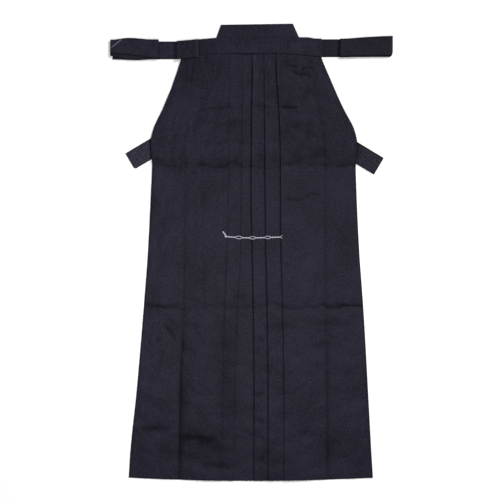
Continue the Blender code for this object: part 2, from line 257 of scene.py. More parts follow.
def besideCrease(line, x, y, fadesOver=None):
    # signed distance from a short crease, and its strength there, which fades towards both ends
    distance, reached, length = alongLine(line, x, y)
    fadesOver = fadesOver or min(14.0, length / 2.5)
    return distance, easeInOut(np.minimum(reached, length - reached) / fadesOver)


# creases that packing pressed right across: how far the line wanders, and how deep it is, at each X
crossCreases = (
    {
        "up": 700.0,
        "line": (
            (-222, 196), (-203, 195), (-192, 191.5), (-174, 194), (-155, 190.4), (-133, 191.5),
            (-95, 190), (-57, 189.5), (-50, 196), (-26, 196.5), (-18, 190), (0, 189), (66, 189),
            (83, 192), (110, 195), (139, 193), (156, 196), (187, 191.5), (208, 189), (219, 191.5),
            (230, 190),
        ),
        "depth": (
            (-222, 0.5), (-203, 0.8), (-155, 0.7), (-145, 0.35), (-133, 0.5), (-81, 0.9),
            (-57, 0.9), (-50, 0.5), (-26, 0.5), (0, 0.6), (67, 0.6), (90, 0.45), (120, 0.25),
            (150, 0.3), (187, 0.6), (219, 0.9), (230, 1.0),
        ),
        "wide": (4.0, 9.0),
    },
    {
        "up": 388.0,
        "line": (
            (-241, -121), (-234, -119.5), (-218, -119), (-205, -115), (-195, -121), (-182, -121),
            (-170, -117), (-160, -122), (-120, -122), (0, -122), (34, -119), (66, -122),
            (110, -126), (140, -125), (152, -117), (160, -113), (168, -119), (200, -121),
            (248, -120),
        ),
        "depth": (
            (-241, 0.8), (-172, 0.8), (-150, 0.3), (20, 0.35), (50, 0.6), (140, 0.6), (160, 0.9),
            (246, 1.0),
        ),
        "wide": (6.0, 5.0),
    },
)

# shorter creases: the line, its depth (minus for a ridge) and how wide it is to each side
smallCreases = (
    (((67, 190), (83, 194), (110, 205), (145, 212)), 0.45, 3, 8),
    (((-160, 232), (-156, 210), (-136, 200)), 0.5, 5, 3),
    (((-220, 208), (-194, 204)), 0.6, 2.5, 4),
    (((-174, 183), (-155, 179)), 0.3, 2.5, 4),
    (((2, 216), (29, 210)), 0.35, 3, 4),
    (((-216, 188), (-204, 168)), -0.4, 3, 3),
    (((-214, 166), (-203, 148)), -0.35, 3, 3),
    (((54, 425), (76, 424), (106, 426)), 0.4, 2.5, 3),
    (((54, 413), (78, 411), (110, 414)), 0.6, 2.5, 3),
    (((100, 408), (118, 407), (142, 410)), 0.5, 2.5, 3),
    (((84, 402), (106, 399), (122, 394), (138, 388)), 0.65, 2.5, 3),
    (((62, 396), (80, 394), (96, 397)), -0.3, 3, 3),
    (((100, 340), (132, 348), (178, 358)), -0.35, 4, 4),
    (((58, 322), (74, 321), (103, 325)), 0.9, 2.5, 4),
    (((0, 324), (28, 325), (56, 323)), 0.3, 3, 4),
    (((-131, 312), (-96, 316), (-64, 325), (-30, 322)), 0.5, 3, 4),
    (((-131, 307), (-109, 290), (-78, 283), (-42, 287)), 0.3, 5, 7),
    (((68, 285), (120, 266), (180, 245)), 0.3, 6, 8),
    (((-127, 247), (-88, 242), (-40, 246), (12, 239)), 0.35, 4, 6),
    (((75, 115), (112, 118), (130, 128), (157, 128)), 0.5, 3, 5),
    (((-155, -157), (-122, -165), (-111, -198), (-88, -220)), 0.3, 3, 4),
    (((-55, -101), (-32, -99), (-10, -102)), 0.35, 3, 4),
    (((-192, -158), (-180, -174), (-171, -200)), 0.95, 4, 5),
    (((-160, -186), (-150, -206), (-151, -226)), 0.7, 4, 4),
    (((-196, -150), (-171, -158), (-160, -176)), 0.4, 3, 4),
    (((-122, -279), (-103, -312)), 0.25, 4, 4),
    (((-163, -409), (-118, -413), (-74, -410)), 0.45, 5, 6),
    (((-103, -470), (-22, -473)), 0.35, 5, 6),
    (((-252, -390), (-181, -392)), 0.45, 5, 6),
    (((-215, -420), (-170, -457)), 0.3, 4, 5),
    (((170, -417), (168, -476)), 0.2, 9, 9),
    (((163, -143), (201, -143)), 0.4, 3, 4),
    (((126, -204), (140, -207), (156, -202), (165, -196)), 0.6, 3, 4),
    (((163, -194), (178, -190), (197, -196)), 0.55, 3, 4),
    (((92, -215), (104, -226), (122, -222)), 0.4, 3, 4),
    (((-100, -196), (-84, -206), (-72, -222)), 0.3, 3, 4),
    (((-226, -196), (-212, -190), (-206, -176)), 0.3, 3, 4),
    (((200, -262), (214, -270), (232, -266)), 0.3, 3, 4),
    (((92, -440), (112, -452), (128, -448)), 0.25, 3, 4),
    (((201, -388), (223, -395)), 0.3, 3, 4),
    (((5, -190), (33, -191)), 0.3, 3, 4),
    (((5, -314), (33, -313)), 0.3, 3, 4),
    (((5, -372), (33, -373)), 0.3, 3, 4),
    (((5, -457), (33, -456)), 0.3, 3, 4),
)


def softWaves(x, y, seed, count, longest, shortest, height):
    # slow unevenness of cloth that has been folded and laid out again
    draw = np.random.default_rng(seed)
    total = np.zeros(np.broadcast(x, y).shape)
    power = 0.0
    for _ in range(count):
        length = math.exp(draw.uniform(math.log(shortest), math.log(longest)))
        turn = draw.uniform(0.0, math.pi)
        phase = draw.uniform(0.0, 2 * math.pi)
        share = length / longest
        along = x * math.cos(turn) + y * math.sin(turn)
        total = total + share * np.sin(2 * math.pi * along / length + phase)
        power += share * share / 2
    return height * total / math.sqrt(power)


# the pressed line beside each side seam, by height above the hem, with the painted shade along it
seams = {
    "leftCrease": {
        "depth": ((0, 1.4), (60, 1.6), (270, 1.6), (320, 0.8), (390, 0.4), (700, 0.25), (950, 0.2)),
        "paintedShade": (
            (0, 0.7), (110, 0.95), (240, 0.8), (280, 0.5), (380, 0.25), (800, 0.25), (900, 0.4),
        ),
        "wide": (8.0, 9.0, 0.5),
    },
    "rightCrease": {
        "depth": ((0, 1.0), (280, 1.0), (330, 0.7), (390, 0.4), (700, 0.3), (950, 0.2)),
        "paintedShade": ((0, 0.4), (90, 0.6), (240, 0.55), (330, 0.3), (640, 0.35), (780, 0.3), (950, 0.2)),
        "wide": (8.0, 1.3, 0.5),
    },
}

# each "Shade" is how wide a crease's painted dark line is to either side, and how blunt; the other
# darkening amounts are painted shade too
unevenness = {
    "broad": {"seed": 11, "count": 26, "longest": 190.0, "shortest": 60.0, "height": 0.30},
    "close": {"seed": 12, "count": 60, "longest": 56.0, "shortest": 11.0, "height": 0.36},
    "strayX": {"seed": 13, "count": 30, "longest": 90.0, "shortest": 26.0, "height": 2.2},
    "strayY": {"seed": 14, "count": 30, "longest": 90.0, "shortest": 22.0, "height": 2.2},
    "broken": {"seed": 15, "count": 60, "longest": 50.0, "shortest": 13.0, "height": 0.36},
    "crossDeeper": 1.5,
    "crossPaintedShade": 0.75,
    "crossShade": (3.8, 1.4, 0.6),
    "smallDeeper": 2.1,
    "smallBlunt": 1.2,
    "smallPaintedShade": 1.0,
    "smallShade": (2.3, 2.3, 0.7),
    "seamShade": (5.0, 1.4, 0.8),
    "sidePaintedShade": 0.75,
    "sidePaintedShadeWide": 1.7,
    "hemPaintedShade": 0.8,
    "hemPaintedShadeWide": 2.0,
}

# places where the cloth lies in its own shade, painted darker: middle, half width and half height,
# and how dark
shadedPlaces = (
    (-112, -412, 48, 9, 0.5), (-120, -432, 54, 34, 0.32), (-76, -432, 46, 44, 0.22),
    (-62, -471, 44, 8, 0.36), (-150, -330, 14, 70, 0.2), (-56, -215, 20, 70, 0.25),
    (-50, -330, 26, 60, 0.3), (-215, -390, 36, 9, 0.5), (-235, -450, 16, 40, 0.2),
    (-190, -440, 26, 22, 0.3), (176, -440, 24, 40, 0.2), (185, -230, 60, 30, 0.12),
    (20, -190, 13, 8, 0.45), (20, -314, 13, 7, 0.4), (20, -372, 13, 7, 0.45),
    (20, -457, 13, 9, 0.45),
    (-147, 395, 12, 60, 0.35), (-128, 400, 20, 50, 0.15), (100, 414, 46, 16, 0.1),
    (60, 322, 46, 3, 0.2), (-70, 200, 60, 18, 0.3), (120, 215, 60, 22, 0.3),
    (-200, 203, 26, 9, 0.25),
    (200, 198, 30, 10, 0.25), (80, 262, 60, 16, 0.15), (-60, 262, 70, 16, 0.12),
    (110, 350, 90, 90, 0.25), (150, 240, 80, 50, 0.2), (132, 358, 24, 9, 0.25),
    (125, 287, 52, 9, 0.25), (-30, 288, 32, 9, 0.2), (40, 400, 30, 60, 0.1),
    (-40, 300, 60, 60, 0.08),
    (-210, -119, 34, 6, 0.3), (205, -118, 46, 6, 0.35),
    (60, -160, 30, 9, 0.3), (175, -155, 40, 8, 0.35), (205, 30, 22, 60, 0.12), (30, 205, 40, 8, 0.3),
)


def strayed(x, y, up):
    # hand-laid creases wander a little and aren't ruled lines
    sideways = softWaves(x, y, **unevenness["strayX"])
    along = softWaves(x, y, **unevenness["strayY"])
    return x + sideways, y + along, up + along


def relief(x, y, up):
    # how far the front's cloth stands up or dips at each place, the same for every layer there
    total = softWaves(x, y, **unevenness["broad"]) + softWaves(x, y, **unevenness["close"])
    straightX = x
    x, y, up = strayed(x, y, up)
    for crease in crossCreases:
        depth = plainRead(crease["depth"], x) * unevenness["crossDeeper"]
        total = total - depth * valley(up - crease["up"], *crease["wide"])
    for line, depth, wideLeft, wideRight in smallCreases:
        distance, strength = besideCrease(line, x, y)
        deep = depth * unevenness["smallDeeper"] * strength
        total = total - deep * valley(distance, wideLeft, wideRight, unevenness["smallBlunt"])
    for name, seam in seams.items():
        beside = straightX - lineX(name, up)
        total = total - plainRead(seam["depth"], up) * valley(beside, *seam["wide"])
    return total


def paintedShade(x, y, up):
    # how much painted shade each place gets, from 0 to 1, lying in the shade of a crease or seam
    total = 0.0
    straightX, straightY, straightUp = x, y, up
    x, y, up = strayed(x, y, up)
    for crease in crossCreases:
        deep = plainRead(crease["depth"], x) * unevenness["crossPaintedShade"]
        total = total + deep * valley(up - crease["up"], *unevenness["crossShade"])
    for line, depth, _, _ in smallCreases:
        distance, strength = besideCrease(line, x, y)
        deep = max(depth, 0.0) * unevenness["smallPaintedShade"] * strength
        total = total + deep * valley(distance, *unevenness["smallShade"])
    # nothing is evenly dark along its whole length, and shaded places least of all
    broken = np.clip(1 + softWaves(x, y, **unevenness["broken"]), 0.25, 1.7)
    patches = 0.0
    for atX, atY, halfWide, halfHigh, dark in shadedPlaces:
        high = straightY + 0.4 * (y - straightY) - atY
        away = ((straightX - atX) / halfWide) ** 2 + (high / halfHigh) ** 2
        patches = patches + dark * np.exp(-away * np.sqrt(away))
    total = total * (0.75 + 0.25 * broken) + patches * (0.35 + 0.65 * broken)
    for name, seam in seams.items():
        beside = straightX - lineX(name, up)
        total = total + plainRead(seam["paintedShade"], up) * valley(beside, *unevenness["seamShade"])
    # the side edges and the hem turn down, away from the light, and get painted shade
    fromSide = np.minimum(straightX - lineX("left", up), lineX("right", up) - straightX)
    sides = unevenness["sidePaintedShade"] * np.exp(-fromSide / unevenness["sidePaintedShadeWide"])
    return total + sides + unevenness["hemPaintedShade"] * np.exp(-straightUp / unevenness["hemPaintedShadeWide"])


fronts = {
    "cloth": 0.5,
    "pitch": 0.72,
    "overBack": 1.9,        # underside of the lowest layer, where it only lies on the back
    "overTies": 4.7,        # and where the crossed ties lie between
    "puff": 1.8,
    # how far each pleat's edge stands off at heights above the hem, and how soon that fades
    "foldLift": {
        "a": ((0, 0.0), (950, 0.0)),
        "b": ((0, 0.0), (950, 0.0)),
        "c": ((0, 1.4), (640, 1.7), (915, 1.7), (935, 0.6), (950, 0.2)),
        "d": ((0, 1.3), (640, 1.5), (825, 1.4), (880, 0.5), (950, 0.2)),
        "e": ((0, 0.5), (60, 0.8), (200, 1.2), (640, 1.5), (900, 1.3), (950, 0.3)),
    },
    "foldLiftFades": {"a": 4.0, "b": 4.0, "c": 7.0, "d": 7.0, "e": 7.0},
    # how dark the painted shadow line beside each pleat's edge is, how wide, and to which side it
    # lies
    "foldPaintedShade": {
        "a": ((0, 0.2), (150, 0.25), (320, 0.3), (430, 0.55), (560, 0.35), (950, 0.4)),
        "b": ((0, 0.25), (150, 0.3), (430, 0.4), (600, 0.55), (950, 0.5)),
        "c": ((0, 0.72), (640, 0.8), (915, 0.85), (935, 0.5), (950, 0.3)),
        "d": (
            (0, 0.75), (600, 0.75), (735, 0.85), (795, 0.9), (812, 0.45), (880, 0.45), (950, 0.35),
        ),
        "e": (
            (0, 0.35), (100, 0.4), (200, 0.55), (400, 0.45), (520, 0.8), (700, 0.75), (745, 0.45),
            (775, 0.75), (930, 0.8), (950, 0.5),
        ),
    },
    "foldPaintedShadeWide": {"a": 1.6, "b": 1.6, "c": 2.4, "d": 2.4, "e": 2.4},
    "foldSteps": 5,
    "edgeDown": 0.12,       # where a side seam's edge ends, just off the surface
    "slitDrop": 1.0,        # how far the free edge of a slit is turned down
    "slitFromUp": 696.0,
    "slitOpensOver": 14.0,
    "tiesFromUp": 540.0,    # where the cloth starts to rise over the ties, and over how far
    "tiesRiseOver": 145.0,
    "puffedBetween": ((0.0, 388.0), (388.0, 700.0)),
    "droop": ((806, 0.0), (868, 1.6), (905, 0.8), (930, 0.0)),
    "lowest": 0.95,
    "hemPressed": 0.35,
    "creaseCarries": 26.0,  # how far from a pressed crease the threads still bend with it
}

# rows above the hem: from, to, and spacing, which is fine where a crease runs across
frontRowZones = (
    (0, 5, 1.2), (5, 86, 5.4), (86, 104, 2.2), (104, 354, 5.5), (354, 378, 4.0), (378, 400, 1.7),
    (400, 408, 2.6), (408, 616, 5.5), (616, 636, 2.2), (636, 690, 5.5), (690, 724, 1.7),
    (724, 744, 5.0), (744, 756, 2.2), (756, 816, 5.2), (816, 834, 1.9), (834, 894, 5.2),
    (894, 936, 2.4), (936, 962, 4.2),
)

# Each run lies between two folds. A step is a line, an offset from it, the number of layers below,
# and the spacing of columns up to the next step.
rightFrontRuns = (
    (
        ("left", 0, 0, 0.42), ("left", 2.5, 0, 1.1), ("left", 6, 0, 2.4), ("left", 14, 0, 3.1),
        ("leftCrease", -5, 0, 1.5), ("leftCrease", 5, 0, 3.0), ("bIn", 0, 4, 3.0), ("a", -6, 4, 1.2),
        ("a", 0, 4, 0),
    ),
    (("a", 0, 3, 8), ("bIn", 0, 3, 4), ("bIn", -8, 1, 8), ("aIn", 0, 1, 0)),
    (
        ("aIn", 0, 0, 8), ("bIn", -8, 0, 4), ("bIn", 0, 2, 8), ("a", -5, 2, 3.0), ("b", -6, 2, 1.3),
        ("b", 0, 2, 0),
    ),
    (("b", 0, 1, 8), ("a", 0, 1, 8), ("bIn", 0, 1, 0)),
    (
        ("bIn", 0, 0, 8), ("b", -4, 0, 1.5), ("b", 3, 0, 2.9), ("c", -8, 0, 1.4), ("c", 2, 0, 6),
        ("centreRight", 0, 0, 0),
    ),
)
leftFrontRuns = (
    (
        ("right", 0, 0, 0.42), ("right", -2.5, 0, 1.1), ("right", -6, 0, 2.4), ("right", -14, 0, 3.1),
        ("rightCrease", 5, 0, 1.5), ("rightCrease", -5, 0, 3.0), ("dIn", 0, 4, 1.6),
        ("e", 2.5, 4, 0.9), ("e", 0, 4, 0),
    ),
    (("e", 0, 3, 8), ("dIn", 0, 3, 4), ("dIn", 8, 1, 8), ("eIn", 0, 1, 0)),
    (
        ("eIn", 0, 0, 8), ("dIn", 8, 0, 4), ("dIn", 0, 2, 8), ("e", 3, 2, 1.7), ("d", 8, 4, 1.3),
        ("d", 0, 4, 0),
    ),
    (("d", 0, 3, 8), ("cIn", 0, 3, 4), ("cIn", 8, 1, 8), ("e", 0, 1, 8), ("dIn", 0, 1, 0)),
    (
        ("dIn", 0, 0, 8), ("e", 0, 0, 8), ("cIn", 8, 0, 4), ("cIn", 0, 2, 8), ("d", 4, 2, 1.7),
        ("c", 6, 2, 1.3), ("c", 0, 2, 0),
    ),
    (("c", 0, 1, 8), ("centreLeft", 0, 1, 8), ("d", 0, 1, 8), ("cIn", 0, 1, 0)),
    (("cIn", 0, 0, 8), ("d", 0, 0, 8), ("centreLeft", 0, 0, 0)),
)


def frontBase(up, x):
    # underside of the front's lowest layer
    rise = fronts["overTies"] - fronts["overBack"]
    base = fronts["overBack"] + rise * easeInOut((up - fronts["tiesFromUp"]) / fronts["tiesRiseOver"])
    left, leftCrease = lineX("left", up), lineX("leftCrease", up)
    right, rightCrease = lineX("right", up), lineX("rightCrease", up)
    inFrom = np.minimum((x - left) / (leftCrease - left), (right - x) / (right - rightCrease))
    inFrom = np.clip(inFrom, 0.0, 1.0)
    puff = np.zeros(np.broadcast(up, x).shape)
    for low, high in fronts["puffedBetween"]:
        share = np.clip((up - low) / (high - low), 0.0, 1.0)
        puff = puff + fronts["puff"] * (4 * share * (1 - share)) ** 0.8
    droop = plainRead(fronts["droop"], up)
    return base + puff * (1 - (1 - inFrom) ** 2) - droop * np.clip(1 - 3 * inFrom, 0.0, 1.0)


def edgeDrop(up, x, middle):
    # the side edges roll down to the back's edge below the slit, and only a little above it
    fromEdge = np.minimum(x - lineX("left", up), lineX("right", up) - x)
    opened = easeInOut((up - fronts["slitFromUp"]) / fronts["slitOpensOver"])
    drop = (middle - fronts["edgeDown"]) * (1 - opened) + fronts["slitDrop"] * opened
    wide = 0.75 * drop + 1.0
    t = np.clip(1 - fromEdge / wide, 0.0, 1.0)
    return drop * (1 - np.sqrt(np.maximum(0.0, 1 - t * t)))


def frontColumns(runs):
    # one entry per column: run, step, share of the way to the next step, and turn round a fold
    columns = []
    middleUp = np.array(garment["hemToBand"] / 2)
    for number, run in enumerate(runs):
        for step in range(len(run) - 1):
            start = lineX(run[step][0], middleUp) + run[step][1]
            end = lineX(run[step + 1][0], middleUp) + run[step + 1][1]
            wide = abs(float(end - start))
            shares = spread(0.0, wide, run[step][3]) / wide
            columns += [(number, step, float(share), None) for share in shares[min(step, 1):]]
        if number < len(runs) - 1:
            steps = fronts["foldSteps"]
            columns += [(number, len(run) - 1, 0.0, (i + 1) / (steps + 1)) for i in range(steps)]
    return columns


def besideFolds(x, ups):
    # painted shadow beside the pleats' edges
    shade = np.zeros(len(ups))
    for fold, wide in fronts["foldPaintedShadeWide"].items():
        beside = x - lineX(fold, ups)
        fall = np.exp(-(beside / wide) ** 2)
        if fold in "cde":  # these edges look away from the light, and shade the layer below
            fall = np.exp(-((beside + 1.1) / wide) ** 2 - (np.maximum(beside, 0.0) / 0.6) ** 2)
        shade = np.maximum(shade, smoothRead(fronts["foldPaintedShade"][fold], ups) * fall)
    return shade


def atFolds(x, ups, folds):
    # how far a layer stands up beside its own visible folds, and how rubbed it is there, which also
    # paints a highlight along the fold
    lift, wearAndHighlight = np.zeros(len(ups)), np.zeros(len(ups))
    for fold in folds:
        if fold in fronts["foldLift"]:
            uneven = 0.85 + 0.25 * np.sin(ups / 61.0 + ord(fold)) * np.sin(ups / 23.0)
            away = np.abs(x - lineX(fold, ups))
            stands = smoothRead(fronts["foldLift"][fold], ups) * uneven
            lift = lift + stands * np.exp(-away / fronts["foldLiftFades"][fold])
            wearAndHighlight = wearAndHighlight + np.exp(-away / 0.7)
    return lift, wearAndHighlight


def frontLeg(name, runs, ups):
    # one cloth folded to and fro: every fold a half round, every layer following the same creases
    up = ups[:, None]
    radius = fronts["pitch"] / 2
    columns = []
    for number, step, share, turn in frontColumns(runs):
        run = runs[number]
        name0, offset0, level0, _ = run[step]
        way = np.sign(float(np.mean(lineX(run[-1][0], ups) - lineX(run[0][0], ups))))
        if turn is None:
            name1, offset1, level1, _ = run[step + 1]
            x0 = lineX(name0, ups) + offset0
            x1 = lineX(name1, ups) + offset1
            # a run stops short of its folds by their radius
            if step == 0 and number > 0:
                x0 = x0 + way * radius
            if step == len(run) - 2 and number < len(runs) - 1:
                x1 = x1 - way * radius
            x = x0 + (x1 - x0) * share
            level = level0 + (level1 - level0) * float(easeInOut(share))
        else:
            angle = math.pi * turn
            x = lineX(name0, ups) + way * radius * (math.sin(angle) - 1)
            level = level0 - 0.5 + 0.5 * math.cos(angle)
        folds = [run[-1][0]] + ([run[0][0]] if number > 0 and turn is None else [])
        lift, wearAndHighlight = atFolds(x, ups, folds)
        columns.append((x, np.full(len(ups), level), lift, wearAndHighlight, besideFolds(x, ups)))
    x, level, lift, wearAndHighlight, shade = (np.stack(column, axis=1) for column in zip(*columns))
    y = rowY(up, x)
    for crease in crossCreases:
        wander = smoothRead(crease["line"], x) - (crease["up"] - garment["length"] / 2)
        y = y + wander * np.exp(-np.abs(up - crease["up"]) / fronts["creaseCarries"])
    middle = frontBase(up, x) + fronts["cloth"] / 2 + relief(x, y, up)
    # a deep crease stops just above the layer below
    soon = fronts["lowest"] + fronts["cloth"] / 2 + 0.5
    middle = np.where(middle < soon, soon - 0.5 + 0.5 * np.exp((middle - soon) / 0.5), middle)
    z = middle + fronts["pitch"] * level + lift - edgeDrop(up, x, middle)
    z = z - fronts["hemPressed"] * np.clip(1 - up / 2.0, 0.0, 1.0) ** 2
    z = np.maximum(z, fronts["cloth"] / 2 + fronts["edgeDown"])
    points = np.stack([x, y, z], axis=2)
    weave = weaveAlong(points)
    weave[:, :, 1] = up
    # painted shade beside the pleats' edges, in creases and seams, and at the edges
    return giveWall(clothGrid(name, points, weave, wearAndHighlight, shade + paintedShade(x, y, up)), fronts["cloth"])


ups = np.unique(np.concatenate([spread(*zone) for zone in frontRowZones]))
frontRight = frontLeg("pleated_front_right", rightFrontRuns, ups)
frontLeft = frontLeg("pleated_front_left", leftFrontRuns, ups)
print("pleated fronts", [len(o.data.polygons) for o in (frontRight, frontLeft)])


backs = {
    "cloth": 0.7,
    "lies": 0.06,
    "inset": 0.85,
    "boardGap": 0.3,
    "hemUp": 0.6,
    "topUp": 779.0,
    "rowSpacing": 16.0,
    "columns": 15,
}
board = {
    "corners": ((-98.0, 421.0), (130.0, 423.0), (92.0, 508.0), (-68.0, 505.5)),
    "thickness": 2.7,
    "dome": 0.35,
    "edgeRadius": 0.9,
    "edgePaintedShade": 0.6,
    "edgePaintedShadeWide": 1.6,
    "bumps": {"seed": 21, "count": 24, "longest": 60.0, "shortest": 14.0, "height": 0.09},
}


def backLeg(name, side, centre, topCorner):
    inward = 1.0 if side == "left" else -1.0
    rows = []
    for up in spread(backs["hemUp"], backs["topUp"], backs["rowSpacing"]):
        outer = float(lineX(side, up)) + inward * backs["inset"]
        inner = float(lineX(centre, up))
        x = np.linspace(outer, inner, backs["columns"])
        rows.append(np.stack([x, rowY(up, x)], axis=1))
    low, high = board["corners"][0], board["corners"][1]
    inner = float(lineX(centre, garment["hemToBand"]))
    x = np.linspace(topCorner, inner, backs["columns"])
    top = np.stack([x, plainRead([low, high], x) - backs["boardGap"]], axis=1)
    last = rows[-1]
    rows += [last + (top - last) * share for share in spread(0.0, 1.0, 0.1)[1:]]
    flat = np.array(rows)
    z = backs["lies"] + backs["cloth"] / 2
    points = np.concatenate([flat, np.full(flat.shape[:2] + (1,), z)], axis=2)
    return giveWall(clothGrid(name, points, weaveAlong(points)), backs["cloth"], 0.2)


backRight = backLeg("plain_back_right", "left", "centreRight", board["corners"][0][0])
backLeft = backLeg("plain_back_left", "right", "centreLeft", board["corners"][1][0])


def backBoard():
    (x0, y0), (x1, y1), (x2, y2), (x3, y3) = board["corners"]
    # shares of the width and of the height, closer together at the edges
    s = np.concatenate([[0.0, 0.006, 0.014], np.linspace(0.025, 0.975, 53), [0.986, 0.994, 1.0]])
    t = np.concatenate([[0.0, 0.015, 0.035], np.linspace(0.07, 0.93, 23), [0.965, 0.985, 1.0]])
    s, t = s[None, :], t[:, None]
    x = (x0 + (x1 - x0) * s) * (1 - t) + (x3 + (x2 - x3) * s) * t
    y = (y0 + (y1 - y0) * s) * (1 - t) + (y3 + (y2 - y3) * s) * t
    half = board["thickness"] / 2
    lower = np.stack([x, y, np.full(x.shape, 0.0)], axis=2)
    fromEdge = np.minimum(np.minimum(s, 1 - s) * (x1 - x0), np.minimum(t, 1 - t) * (y2 - y1))
    # painted shade along the board's edges
    shade = board["edgePaintedShade"] * np.exp(-fromEdge / board["edgePaintedShadeWide"])
    obj = clothGrid("board_cover", lower, weaveAlong(lower), None, shade)
    giveWall(obj, board["thickness"], board["edgeRadius"], offset=1.0, rounds=3)
    # the top face is crowned and a little uneven, the underside stays flat
    flat = readPoints(obj.data)
    px, py = flat[:, 0] / mm, flat[:, 1] / mm
    tt = (py - (y0 + y1) / 2) / ((y2 + y3) / 2 - (y0 + y1) / 2)
    leftX, rightX = x0 + (x3 - x0) * tt, x1 + (x2 - x1) * tt
    ss = (px - leftX) / (rightX - leftX)
    inside = np.clip(16 * ss * (1 - ss) * tt * (1 - tt), 0.0, 1.0)
    bump = board["dome"] * inside**0.5 + softWaves(px, py, **board["bumps"]) * inside
    flat[:, 2] += np.where(flat[:, 2] > half * mm, bump * mm, 0.0)
    flat[:, 2] -= flat[:, 2].min()
    obj.data.vertices.foreach_set("co", flat.ravel())
    obj.data.update()
    return obj


boardCover = backBoard()


def roundedPath(corners, radius, runSteps, arcSteps):
    # points along a bent line in X and Z whose corners are rounded, and the share of the way
    # through its run at each: run number plus a share, with the whole arc at the run's end
    corners = [np.array(c, float) for c in corners]
    points, places = [corners[0]], [0.0]
    start = corners[0]
    for i in range(1, len(corners)):
        into = corners[i] - corners[i - 1]
        into = into / np.linalg.norm(into)
        if i == len(corners) - 1:
            end = corners[i]
            arc = []
        else:
            away = corners[i + 1] - corners[i]
            away = away / np.linalg.norm(away)
            turn = math.acos(max(-1.0, min(1.0, float(into @ away))))
            reach = radius * math.tan(turn / 2)
            end = corners[i] - into * reach
            leave = corners[i] + away * reach
            inwards = away - into
            inwards = inwards / np.linalg.norm(inwards)
            centre = corners[i] + inwards * radius / math.cos(turn / 2)
            angle0 = math.atan2(*(end - centre)[::-1])
            swing = turn if into[0] * away[1] - into[1] * away[0] > 0 else -turn
            arc = [
                centre + radius * np.array([math.cos(angle0 + swing * k / arcSteps),
                                            math.sin(angle0 + swing * k / arcSteps)])
                for k in range(1, arcSteps)
            ] + [leave]
        steps = runSteps[i - 1]
        for k in range(1, steps + 1):
            share = k / steps
            if i == len(corners) - 1:  # columns crowd towards the loose end
                share = 1 - (1 - share) ** 1.8
            points.append(start + (end - start) * share)
            places.append(i - 1 + share)
        for point in arc:
            points.append(point)
            places.append(float(i))
        start = points[-1]
    return np.array(points), np.array(places)


band = {
    "left": -166.0,
    "rightLow": 158.5,
    "rightHigh": 156.0,
    "foldInner": -118.0,
    "turnIn": 4.5,
    "foldDrop": 3.6,
    "overSeam": 1.6,
    "wall": 1.15,
    "step": 1.6,
    "upperEdge": (
        (-166.0, 468.5), (-79.0, 476.0), (92.0, 477.4), (126.0, 477.0), (140.0, 474.4),
        (158.5, 474.2),
    ),
    "height": 35.0,
    "overFront": 0.35,
    "fallStarts": 14.5,     # above its lower edge it comes down to the board or the ties
    "restOverBoard": 3.6,
    "restOverTies": 4.7,
    "creaseFades": 5.0,
    "creaseBlunt": 0.8,
    "creaseShade": (1.8, 1.8, 0.6),
    "upperEdgePaintedShade": 0.5,
    "lowerEdgePaintedShade": (0.15, 0.65),  # at the photo's left and at its right
    "edgePaintedShadeWide": 1.4,
    # painted shade beside the doubled end: a narrow dark line and a wide soft shade
    "besideFoldPaintedShade": ((0.7, 2.0), (0.35, 26.0)),  # a narrow dark line and a wide soft shade
    "foldLift": (0.5, 6.0),
    "bumps": {"seed": 31, "count": 20, "longest": 60.0, "shortest": 14.0, "height": 0.12},
    "rises": (
        0.0, 0.5, 1.6, 3.5, 6.0, 8.5, 11.0, 13.0, 15.0, 17.5, 20.0, 22.5, 25.0, 27.5, 30.0, 32.5,
        34.2, 35.0,
    ),
}

bandCreases = (
    (((-13, 474), (-13, 450)), 0.5, 2.5, 2.0),
    (((80.6, 474), (80.6, 450)), 0.6, 2.5, 2.0),
    (((89, 479), (98.6, 461)), 0.5, 2.5, 2.0),
    (((149.4, 474), (149.4, 440)), 0.5, 1.5, 2.5),
    (((100, 452), (108, 447), (120, 450)), -0.5, 2.5, 2.5),
    (((104, 446), (118, 444)), -0.45, 2.0, 2.0),
    (((-88, 470), (-84, 448)), 0.35, 3.0, 3.0),
    (((20, 472), (22, 452)), 0.25, 3.0, 3.0),
)
bandFoldCreases = (
    (((-160, 471), (-148, 461), (-141, 452)), 0.8, 2.2, 2.2),
    (((-139, 448), (-133, 443), (-122, 441)), 0.6, 2.2, 2.2),
    (((-161, 440), (-152, 445), (-149, 453)), 0.7, 2.2, 2.2),
    (((-144, 460), (-140, 466), (-129, 471)), 0.6, 2.2, 2.2),
    (((-156, 468), (-158, 446)), 0.5, 2.0, 2.0),
    (((-138, 446), (-130, 457), (-128, 468)), 0.4, 2.0, 2.0),
)


def bandEdges(rise, x):
    # Y at this share of the band's height, and of its two edges
    low = rowY(garment["hemToBand"], x) - band["overSeam"]
    top = plainRead(band["upperEdge"], x)
    return low + (top - low) * rise / band["height"], low, top


def bandZ(rise, x, level):
    # lies on the pleats below, and comes down behind them to the board or the ties above
    y, low, top = bandEdges(rise, x)
    pleatsTop = frontBase(np.full(np.shape(x), 956.0), x) + 0.3 + fronts["cloth"]
    puffed = pleatsTop + band["overFront"] + fronts["pitch"] * level
    fallen = np.maximum(0.0, y - low - band["fallStarts"]) / (top - low - band["fallStarts"])
    rest = plainRead([(70.0, band["restOverBoard"]), (100.0, band["restOverTies"])], np.abs(x))
    return puffed + (rest - puffed) * easeInOut(fallen) + band["wall"] / 2


# how many layers of pleats lie below the band, from one side to the other
bandPath = (
    ("left", 0, 0), ("leftCrease", 0, 0), ("leftCrease", 5, 0), ("bIn", 0, 4), ("a", 0, 4),
    ("c", 0, 4), ("e", 0, 4), ("dIn", 0, 4), ("rightCrease", -5, 0), ("rightCrease", 0, 0),
    ("right", 0, 0),
)


